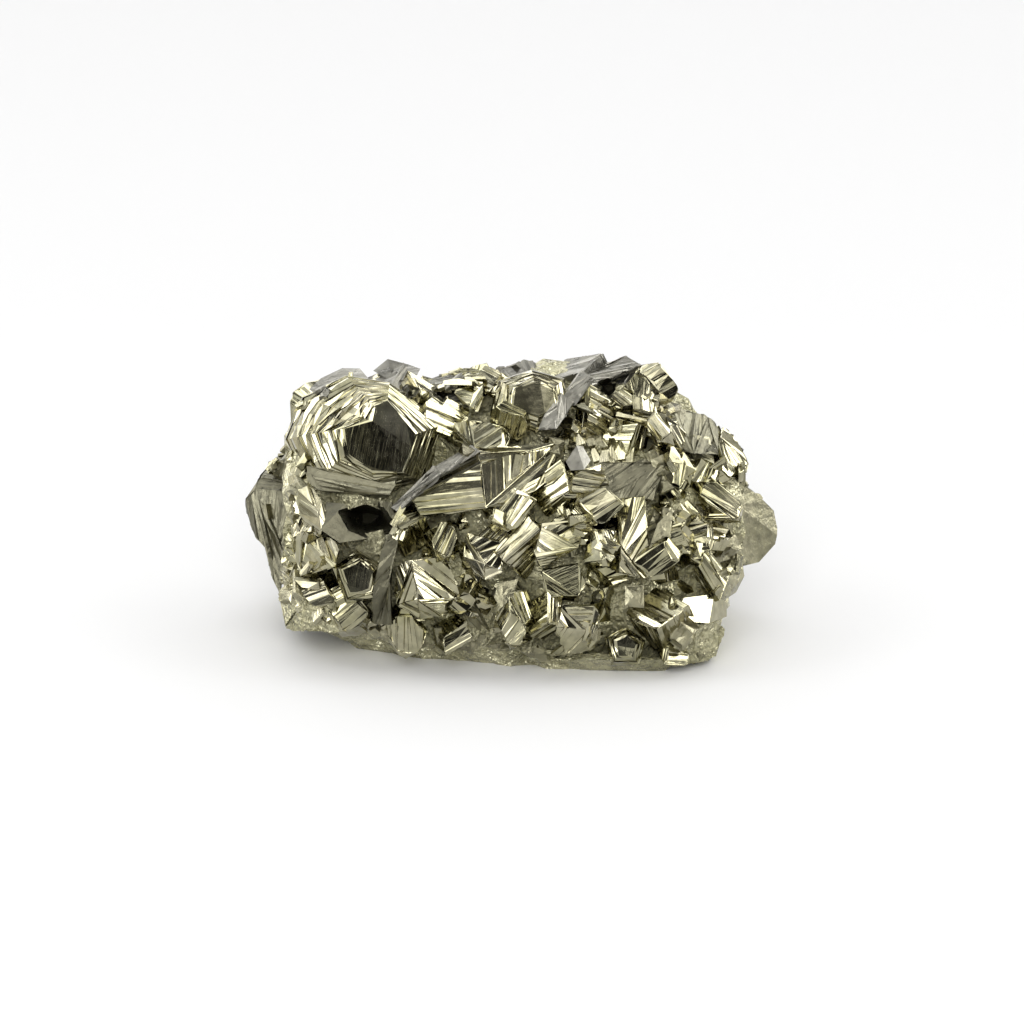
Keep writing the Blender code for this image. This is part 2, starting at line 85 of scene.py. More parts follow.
MM = 0.001
NODE = "pyrite_cluster"
CUT_THRESHOLD = 1e-5            # mm: bisect keeps what lies closer to a cut than this
SAME_FACING = 0.9995            # cosine over which two hull faces are one face
SAME_HEIGHT = 0.05              # mm: faces that lie closer than this can be one face
TAG = 10                        # material index of a crystal's first face while it is being made
RIM_TAG = 500                   # added to it on the plain rim round a face's growth steps
SEED_SHIFT = 7.31               # mm: how far one crystal's pattern lies from the next one's
FLOOR_GAP = 0.00002             # metres between the underside and the floor
DRUSE_SEED = 100
FRONT_SEED = 200
ROUND_SEED = 300

Corner = tuple[float, float, float]
Face = bmesh.types.BMFace
Axes = tuple[Vector, Vector]


@dataclass(frozen=True)
class LeaningFrame:
    """The crystal front's own frame, in millimetres.

    Attributes:
        lean: how far the front leans back, in radians.
        centre_height: height of the frame's centre over the underside.
    """

    lean: float = math.radians(20.0)
    centre_height: float = 15.0

    def direction(self, across: float, up: float, out: float) -> Vector:
        """Return a direction of the frame as a world direction."""
        back = up * math.sin(self.lean) - out * math.cos(self.lean)
        height = up * math.cos(self.lean) + out * math.sin(self.lean)
        return Vector((across, back, height))

    def place(self, across: float, up: float, out: float) -> Vector:
        """Return a place of the frame as world millimetres."""
        return self.direction(across, up, out) + Vector((0, 0, self.centre_height))


FRONT = LeaningFrame()


class Finish(Enum):
    """Which finish a crystal wears: its material slot's number."""

    BRIGHT = 0
    OLIVE = 1
    GREY = 2
    MATRIX = 3
    # SHADED is painted shade: a darker copy of the pyrite for faces that are to look shaded.
    SHADED = 4


class Habit(Enum):
    """The faces that bound a crystal: directions, each with its opposite, and their distances."""

    CUBE = (((1, 0, 0), 1.0), ((0, 1, 0), 1.0), ((0, 0, 1), 1.0))
    PYRITOHEDRON = (
        ((0, 1, 2), 1.0), ((0, -1, 2), 1.0), ((1, 2, 0), 1.0),
        ((-1, 2, 0), 1.0), ((2, 0, 1), 1.0), ((2, 0, -1), 1.0),
    )
    BLUNT_CUBE = CUBE + (
        ((1, 1, 1), 1.3), ((-1, 1, 1), 1.3), ((1, -1, 1), 1.3), ((1, 1, -1), 1.3),
    )
    BEVELLED_CUBE = CUBE + (
        ((0, 1, 2), 1.1), ((0, -1, 2), 1.1), ((1, 2, 0), 1.1),
        ((-1, 2, 0), 1.1), ((2, 0, 1), 1.1), ((2, 0, -1), 1.1),
    )


# --- edit-mode helpers ---------------------------------------------------------------------------


def deselect_all() -> None:
    """Leave nothing selected in object mode."""
    for chosen in list(bpy.context.selected_objects):
        chosen.select_set(False)


def choose(piece: bpy.types.Object) -> None:
    """Select a piece alone and make it the active one."""
    deselect_all()
    bpy.context.view_layer.objects.active = piece
    piece.select_set(True)


def edit(piece: bpy.types.Object) -> None:
    """Open a piece alone in edit mode."""
    choose(piece)
    bpy.ops.object.mode_set(mode="EDIT")


def close_edit() -> None:
    """Go back to object mode."""
    bpy.ops.object.mode_set(mode="OBJECT")


def opened_mesh(piece: bpy.types.Object) -> bmesh.types.BMesh:
    """Return the mesh that is open in edit mode.

    Args:
        piece: the object open in edit mode.

    Returns:
        Its mesh, with its faces numbered.
    """
    shape = bmesh.from_edit_mesh(piece.data)
    shape.faces.ensure_lookup_table()
    return shape


def select_faces(piece: bpy.types.Object, wanted: Callable[[Face], bool]) -> int:
    """Select the faces that a test accepts, and nothing else.

    Args:
        piece: the object open in edit mode.
        wanted: a test that takes a face and says whether it is wanted.

    Returns:
        How many faces are selected.
    """
    bpy.ops.mesh.select_all(action="DESELECT")
    count = 0
    for face in opened_mesh(piece).faces:
        if wanted(face):
            face.select_set(True)
            count += 1
    return count


def cut_away(point: Vector, facing: Vector) -> None:
    """Cut off what lies beyond a plane and close the cut, in edit mode.

    Args:
        point: a point of the plane.
        facing: the direction of what is cut off.
    """
    bpy.ops.mesh.select_all(action="SELECT")
    bpy.ops.mesh.bisect(
        plane_co=point, plane_no=facing, use_fill=True, clear_outer=True, threshold=CUT_THRESHOLD,
    )


def hull_faces(points: list[Vector]) -> list[tuple[Vector, Vector]]:
    """Return a point and the outward direction of each face of the points' convex hull.

    Args:
        points: the points, in mm.

    Returns:
        A point and a direction for each face.
    """
    cloud = np.array([tuple(point) for point in points])
    found: list[tuple[Vector, Vector]] = []
    trios = np.array(list(combinations(range(len(points)), 3)))
    first, second, third = (cloud[trios[:, i]] for i in range(3))
    facings = np.cross(second - first, third - first)
    lengths = np.linalg.norm(facings, axis=1)
    wide = lengths > 1e-6
    facings = facings[wide] / lengths[wide, None]
    first = first[wide]
    heights = cloud @ facings.T - np.einsum("ij,ij->i", first, facings)
    for number in range(len(facings)):
        if heights[:, number].max() < 1e-4:
            facing = Vector(facings[number])
        elif heights[:, number].min() > -1e-4:
            facing = -Vector(facings[number])
        else:
            continue
        point = Vector(first[number])
        if all(facing.dot(other) < SAME_FACING or abs((point - spot).dot(other)) > SAME_HEIGHT
               for spot, other in found):
            found.append((point, facing))
    return found


def lay_pattern(piece: bpy.types.Object, axes: Callable[[bpy.types.MeshPolygon], Axes],
                middle: Vector = Vector(), shift: float = 0.0) -> None:
    """Lay a piece's pattern flat on each of its faces.

    Args:
        piece: what is dressed.
        axes: gives a face's directions along the pattern and across it.
        middle: where the pattern starts, in mm.
        shift: how far it is shifted both ways, in mm.
    """
    mesh = piece.data
    if not mesh.uv_layers:
        mesh.uv_layers.new(name="UVMap")
    pattern = mesh.uv_layers.active.data
    for face in mesh.polygons:
        along, side = axes(face)
        for loop in face.loop_indices:
            spot = mesh.vertices[mesh.loops[loop].vertex_index].co - middle
            pattern[loop].uv = (spot.dot(along) + shift, spot.dot(side) + shift)


def give_finish(piece: bpy.types.Object, finish: Finish) -> None:
    """Give all of a piece's faces one finish's slot."""
    for face in piece.data.polygons:
        face.material_index = finish.value


# --- striations ----------------------------------------------------------------------------------


@dataclass(frozen=True)
class Striations:
    """Growth steps that run across a crystal face.

    Attributes:
        pitch: mean width of a tread, in mm.
        relief: how high a step stands, in mm.
        rim: width of the plain rim round the steps, in mm.
        raised: least and greatest width of a raised tread, in pitches.
        sunk: least and greatest width of a sunk tread.
        rises: the kinds of step, each with its height as a share of the relief.
        lesser: how often a step is of its lesser kind.
    """

    pitch: float
    relief: float
    rim: float = 0.05
    raised: tuple[float, float] = (0.2, 0.5)
    sunk: tuple[float, float] = (0.4, 1.0)
    rises: tuple[tuple[int, float], ...] = ((1, 0.8), (2, 0.4), (3, -0.3))
    lesser: float = 0.35

    def carve(self, piece: bpy.types.Object, tag: int, facing: Vector, grain: Vector,
              chance: random.Random) -> None:
        """Step the faces that carry a tag, in edit mode.

        Args:
            piece: the crystal, open in edit mode.
            tag: the material index that marks the face.
            facing: the face's outward direction.
            grain: the direction in which the steps run.
            chance: the source of uneven widths and heights.
        """
        if select_faces(piece, lambda face: face.material_index == tag) == 0:
            return
        bpy.ops.mesh.inset(thickness=self.rim, use_boundary=True, use_even_offset=True)
        shape = opened_mesh(piece)
        for face in shape.faces:
            if face.material_index == tag and not face.select:
                face.material_index = tag + RIM_TAG
        side = facing.cross(grain).normalized()
        reach = [corner.co.dot(side) for face in shape.faces if face.select for corner in face.verts]
        if not reach:
            return
        steps = shape.verts.layers.int.get("step") or shape.verts.layers.int.new("step")
        low, high = min(reach), max(reach)
        place = low + self.pitch * chance.uniform(0.2, 0.6)
        raised = True
        while place < high - 0.2 * self.pitch:
            select_faces(piece, lambda face: face.material_index == tag)
            tilt = side + grain * chance.uniform(-0.03, 0.03)
            bpy.ops.mesh.bisect(plane_co=side * place, plane_no=tilt, threshold=CUT_THRESHOLD)
            shape = opened_mesh(piece)
            steps = shape.verts.layers.int.get("step")
            step = (1 if raised else 3) + (chance.random() < self.lesser)
            for corner in shape.verts:
                if corner.select:
                    corner[steps] = step
            place += self.pitch * chance.uniform(*(self.raised if raised else self.sunk))
            raised = not raised
        for step, rise in self.rises:
            bpy.ops.mesh.select_all(action="DESELECT")
            shape = opened_mesh(piece)
            steps = shape.verts.layers.int.get("step")
            for corner in shape.verts:
                if corner[steps] == step:
                    corner.select_set(True)
            shape.select_flush_mode()
            bpy.ops.transform.translate(value=facing * self.relief * rise)
        shape = opened_mesh(piece)
        steps = shape.verts.layers.int.get("step")
        for corner in shape.verts:
            corner[steps] = 0


@dataclass(frozen=True)
class Waves:
    """Soft noise that moves a piece's corners, so that its faces aren't quite regular.

    Attributes:
        bends: wavelength and strength of each bend, in mm.
    """

    bends: tuple[tuple[float, float], ...]

    def bend(self, piece: bpy.types.Object) -> None:
        """Part a piece's faces into triangles and displace its corners.

        Args:
            piece: what is bent, in mm.
        """
        edit(piece)
        bpy.ops.mesh.select_all(action="SELECT")
        bpy.ops.mesh.quads_convert_to_tris(quad_method="SHORTEST_DIAGONAL", ngon_method="CLIP")
        close_edit()
        choose(piece)
        for scale, strength in self.bends:
            clouds = bpy.data.textures.new("waves", "CLOUDS")
            clouds.noise_scale = scale
            clouds.cloud_type = "COLOR"
            bend = piece.modifiers.new("bend", "DISPLACE")
            bend.texture = clouds
            bend.texture_coords = "LOCAL"
            bend.direction = "RGB_TO_XYZ"
            bend.strength = strength
            bpy.ops.object.modifier_apply(modifier=bend.name)
            bpy.data.textures.remove(clouds)


# --- crystals ------------------------------------------------------------------------------------

COARSE = Striations(pitch=0.72, relief=0.17)
MEDIUM = Striations(pitch=0.5, relief=0.12)
FINE = Striations(pitch=0.34, relief=0.06)
BROAD = Striations(pitch=1.1, relief=0.24)


@dataclass
class Crystal:
    """A convex crystal whose faces carry growth steps.

    Attributes:
        name: its object's name.
        faces: a point and the outward direction of each face, in mm.
        finish: the finish it wears.
        steps: its growth steps, or None on a smooth crystal.
        seed: what makes its uneven steps its own.
        lead: number of its lead face, if it has one.
        lead_steps: growth steps of the lead face, or None where that is smooth.
        lead_grain: direction in which the lead face's steps run.
        grains: direction of the steps of each face, by its number.
    """

    name: str
    faces: list[tuple[Vector, Vector]]
    finish: Finish = Finish.BRIGHT
    steps: Striations | None = COARSE
    seed: int = 1
    lead: int | None = None
    lead_steps: Striations | None = None
    lead_grain: Vector | None = None
    grains: dict[int, Vector] = field(default_factory=dict)

    def build(self) -> bpy.types.Object:
        """Cut the crystal out of a block, step its faces and return it."""
        middle = sum((point for point, _ in self.faces), Vector()) / len(self.faces)
        reach = max((point - middle).length for point, _ in self.faces)
        bpy.ops.mesh.primitive_cube_add(size=reach * 4.0, location=middle)
        piece = bpy.context.object
        piece.name = self.name
        choose(piece)
        bpy.ops.object.transform_apply(location=True, rotation=False, scale=False)
        edit(piece)
        for point, facing in self.faces:
            cut_away(point, facing)
        self.tag_faces(piece)
        self.find_grains(piece)
        chance = random.Random(self.seed)
        for number, (_, facing) in enumerate(self.faces):
            steps = self.lead_steps if number == self.lead else self.steps
            if steps and number in self.grains:
                steps.carve(piece, TAG + number, facing, self.grains[number], chance)
        bpy.ops.mesh.select_all(action="SELECT")
        bpy.ops.mesh.quads_convert_to_tris(quad_method="BEAUTY", ngon_method="BEAUTY")
        close_edit()
        self.dress(piece)
        return piece

    def tag_faces(self, piece: bpy.types.Object) -> None:
        """Mark each face of the block with the number of the crystal face it lies on.

        Args:
            piece: the crystal, open in edit mode.
        """
        for face in opened_mesh(piece).faces:
            middle = face.calc_center_median()
            for number, (point, facing) in enumerate(self.faces):
                if face.normal.dot(facing) > SAME_FACING and abs((middle - point).dot(facing)) < 0.06:
                    face.material_index = TAG + number

    def find_grains(self, piece: bpy.types.Object) -> None:
        """Set the direction of each face's steps: along its edge with the lead face, or its longest.

        Args:
            piece: the crystal, open in edit mode.
        """
        for face in opened_mesh(piece).faces:
            number = face.material_index - TAG
            if number < 0 or number in self.grains:
                continue
            if number == self.lead and self.lead_grain is not None:
                self.grains[number] = self.lead_grain
                continue
            edges = [edge for edge in face.edges
                     if any(other.material_index - TAG == self.lead for other in edge.link_faces)]
            longest = max(edges or face.edges, key=lambda edge: edge.calc_length())
            along = longest.verts[1].co - longest.verts[0].co
            self.grains[number] = along.normalized()

    def dress(self, piece: bpy.types.Object) -> None:
        """Lay the faces' pattern along their steps, and give the piece its finish's slot."""
        lay_pattern(piece, self.axes, shift=self.seed * SEED_SHIFT)
        give_finish(piece, self.finish)

    def axes(self, face: bpy.types.MeshPolygon) -> Axes:
        """Return the directions along a face's steps and across them.

        Args:
            face: one of its faces.

        Returns:
            Both directions, of length 1.
        """
        number = (face.material_index - TAG) % RIM_TAG
        facing = self.faces[number][1] if number < len(self.faces) else face.normal
        grain = self.grains.get(number)
        if grain is None:
            grain = facing.orthogonal().normalized()
        return grain, facing.cross(grain).normalized()


@dataclass
class GreatCrystal:
    """A crystal whose visible corners are given in the leaning frame.

    Attributes:
        name: its object's name.
        root: how deep behind its corners' middle it is rooted, in mm.
        corners: its corners as (across, up, out); the first three lie on its lead face.
        finish: the finish it wears.
        steps: growth steps of its side faces.
        lead_steps: growth steps of its lead face.
        lead_turn: in which direction the lead face's steps run, in degrees up from across.
        root_draw: how wide its root is, as a share of its corners' reach.
    """

    name: str
    root: float
    corners: tuple[Corner, ...]
    finish: Finish = Finish.BRIGHT
    steps: Striations | None = COARSE
    lead_steps: Striations | None = MEDIUM
    lead_turn: float = 20.0
    root_draw: float = 0.72

    def build(self, seed: int) -> bpy.types.Object:
        """Build the crystal from the hull of its corners and their drawn-in roots.

        Args:
            seed: what makes its uneven steps its own.

        Returns:
            The crystal, in mm.
        """
        middle = sum((Vector(corner) for corner in self.corners), Vector()) / len(self.corners)
        points = [FRONT.place(*corner) for corner in self.corners]
        for corner in self.corners:
            drawn = middle.lerp(Vector(corner), self.root_draw)
            points.append(FRONT.place(drawn.x, drawn.y, middle.z - self.root))
        faces = hull_faces(points)
        first, second, third = points[:3]
        facing = (second - first).cross(third - first).normalized()
        if facing.dot(FRONT.direction(0, 0, 1)) < 0:
            facing = -facing
        lead = max(range(len(faces)), key=lambda number: faces[number][1].dot(facing))
        turn = math.radians(self.lead_turn)
        seen = FRONT.direction(math.cos(turn), math.sin(turn), 0)
        grain = (seen - facing * seen.dot(facing)).normalized()
        crystal = Crystal(
            self.name, faces, self.finish, self.steps, seed, lead, self.lead_steps, grain,
        )
        return crystal.build()


def parted(corners: tuple[Corner, ...], parts: int) -> list[Corner]:
    """Return a closed outline's corners with its sides parted evenly.

    Args:
        corners: the outline's corners.
        parts: how many parts each side gets.

    Returns:
        The corners of all parts.
    """
    found = []
    for start, end in zip(corners, corners[1:] + corners[:1]):
        for step in range(parts):
            found.append(tuple(a + (b - a) * step / parts for a, b in zip(start, end)))
    return found


@dataclass
class TerracedCrystal:
    """A crystal that steps back all round from its front face in uneven terraces.

    Attributes:
        name: its object's name.
        front: corners of the front face, as (across, up, out), in turn.
        back: the corners that the terraces end at, one for each front corner.
        root: how deep behind the back corners it is rooted, in mm.
        terraces: how many terraces there are.
        dome: how much the terraces curve back, 1 for a straight slope.
        tread: the share of a terrace's width that its tread takes.
        drop: the share of a terrace's depth that its tread takes.
        stray: how unevenly its corners stand, in terraces.
        parts: how many parts each side of a terrace has.
        finish: the finish it wears.
    """

    name: str
    front: tuple[Corner, ...]
    back: tuple[Corner, ...]
    root: float = 6.0
    terraces: int = 12
    dome: float = 1.4
    tread: float = 0.6
    drop: float = 0.18
    stray: float = 0.3
    parts: int = 3
    finish: Finish = Finish.BRIGHT

    def build(self, seed: int) -> bpy.types.Object:
        """Draw the front face back, terrace by terrace, and return the crystal.

        Args:
            seed: what makes its uneven terraces its own.

        Returns:
            The crystal, in mm.
        """
        chance = random.Random(seed)
        front = parted(self.front, self.parts)
        back = parted(self.back, self.parts)
        count = len(front)
        bpy.ops.mesh.primitive_circle_add(vertices=count, radius=1.0, fill_type="NGON")
        piece = bpy.context.object
        piece.name = self.name
        edit(piece)
        lead = opened_mesh(piece).faces[0]
        order = [corner.index for corner in lead.verts]
        front_loop = [FRONT.place(*corner) for corner in front]
        back_loop = [FRONT.place(*corner) for corner in back]
        for number, corner in enumerate(lead.verts):
            corner.co = front_loop[number]
        for part in self.levels(chance, count):
            self.draw_ring(piece, order, [
                self.between(front_loop[i], back_loop[i], part[i]) for i in range(count)
            ])
        middle = sum(back_loop, Vector()) / count
        inward = FRONT.direction(0, 0, 1)
        self.draw_ring(piece, order, [
            middle.lerp(spot, 0.6) - inward * (self.root + (spot - middle).dot(inward))
            for spot in back_loop
        ])
        bpy.ops.mesh.edge_face_add()
        bpy.ops.mesh.select_all(action="SELECT")
        bpy.ops.mesh.normals_make_consistent(inside=False)
        bpy.ops.mesh.quads_convert_to_tris(quad_method="BEAUTY", ngon_method="BEAUTY")
        close_edit()
        dress_along_rings(piece, middle)
        give_finish(piece, self.finish)
        return piece

    def levels(self, chance: random.Random, count: int) -> list[list[tuple[float, float]]]:
        """Return how far out and how far back each ring's corners lie, ring by ring.

        Args:
            chance: the source of uneven terraces.
            count: how many corners a ring has.

        Returns:
            Two rings for each terrace, with a pair of shares for each corner.
        """
        widths = [chance.uniform(0.5, 1.5) for _ in range(self.terraces)]
        total = sum(widths)
        rings = []
        done = 0.0
        for width in widths:
            step = width / total
            wander = [chance.uniform(-self.stray, self.stray) / self.terraces
                      for _ in range(count)]
            for tread, drop in ((self.tread, self.drop), (1.0, 1.0)):
                ring = []
                for i in range(count):
                    share = done + step
                    outer = done + step * tread + wander[i] * (share < 0.999)
                    depth_before, depth_after = done ** self.dome, share ** self.dome
                    deeper = depth_before + (depth_after - depth_before) * drop
                    ring.append((min(max(outer, 0.0), 1.0), min(max(deeper + wander[i], 0.0), 1.0)))
                rings.append(ring)
            done += step
        return rings

    def between(self, start: Vector, end: Vector, shares: tuple[float, float]) -> Vector:
        """Return the place that lies one share out and another share back on the way.

        Args:
            start: where the way starts.
            end: where it ends.
            shares: how far out and how far back the place lies, from 0 to 1.

        Returns:
            The place, in mm.
        """
        ahead = FRONT.direction(0, 0, 1)
        way = end - start
        back = ahead * way.dot(ahead)
        return start + (way - back) * shares[0] + back * shares[1]

    def draw_ring(self, piece: bpy.types.Object, order: list[int], spots: list[Vector]) -> None:
        """Extrude the open rim and set its corners at their places.

        Args:
            piece: the crystal, open in edit mode.
            order: the rim's corners in turn, renumbered here.
            spots: where each of them goes.
        """
        shape = opened_mesh(piece)
        shape.verts.ensure_lookup_table()
        before = [shape.verts[index].co.copy() for index in order]
        bpy.ops.mesh.select_all(action="DESELECT")
        rim = [edge for edge in shape.edges if edge.verts[0].index in order
               and edge.verts[1].index in order and len(edge.link_faces) < 2]
        for edge in rim:
            edge.select_set(True)
        known = len(shape.verts)
        bpy.ops.mesh.extrude_edges_move()
        shape = opened_mesh(piece)
        shape.verts.ensure_lookup_table()
        fresh = [corner for corner in shape.verts if corner.index >= known]
        for number, place in enumerate(before):
            corner = min(fresh, key=lambda vert: (vert.co - place).length)
            fresh.remove(corner)
            corner.co = spots[number]
            order[number] = corner.index


@dataclass
class HabitCrystal:
    """A crystal of one of pyrite's habits.

    Attributes:
        name: its object's name.
        habit: the faces that bound it.
        centre: its middle, in mm.
        half: its half width, in mm.
        turned: how it is turned.
        finish: the finish it wears.
        steps: its growth steps, or None on a smooth crystal.
        skew: how far it departs from its habit's right angles.
    """

    name: str
    habit: Habit
    centre: Vector
    half: float
    turned: Quaternion
    finish: Finish = Finish.BRIGHT
    steps: Striations | None = MEDIUM
    skew: float = 0.0

    def build(self, seed: int) -> bpy.types.Object:
        """Build the crystal at its place, a little skewed.

        Args:
            seed: what makes its skew and steps its own.

        Returns:
            The crystal, in mm.
        """
        chance = random.Random(seed)
        growth = Matrix([[(i == j) + chance.uniform(-self.skew, self.skew) for j in range(3)]
                         for i in range(3)])
        slope = growth.inverted().transposed()
        faces = []
        for direction, distance in self.habit.value:
            for side in (1, -1):
                outward = Vector(direction).normalized() * side
                facing = (self.turned @ (slope @ outward)).normalized()
                spot = self.turned @ (growth @ (outward * distance * self.half))
                faces.append((self.centre + spot, facing))
        return Crystal(self.name, faces, self.finish, self.steps, seed).build()


def turned_to(facing: Vector, turn: float) -> Quaternion:
    """Return the rotation that faces Z along a direction and turns it about it, in degrees."""
    upright = Vector((0, 0, 1)).rotation_difference(facing)
    return upright @ Quaternion((0, 0, 1), math.radians(turn))


# --- the crystals' places ------------------------------------------------------------------------

# How some great crystals are alike.
SMOOTH = {"steps": None, "lead_steps": None}
BAND = {"finish": Finish.GREY, "steps": FINE, "lead_steps": MEDIUM}
# The seams wear the shaded finish: painted shade.
SEAM = {"finish": Finish.SHADED, "steps": COARSE, "lead_steps": COARSE}
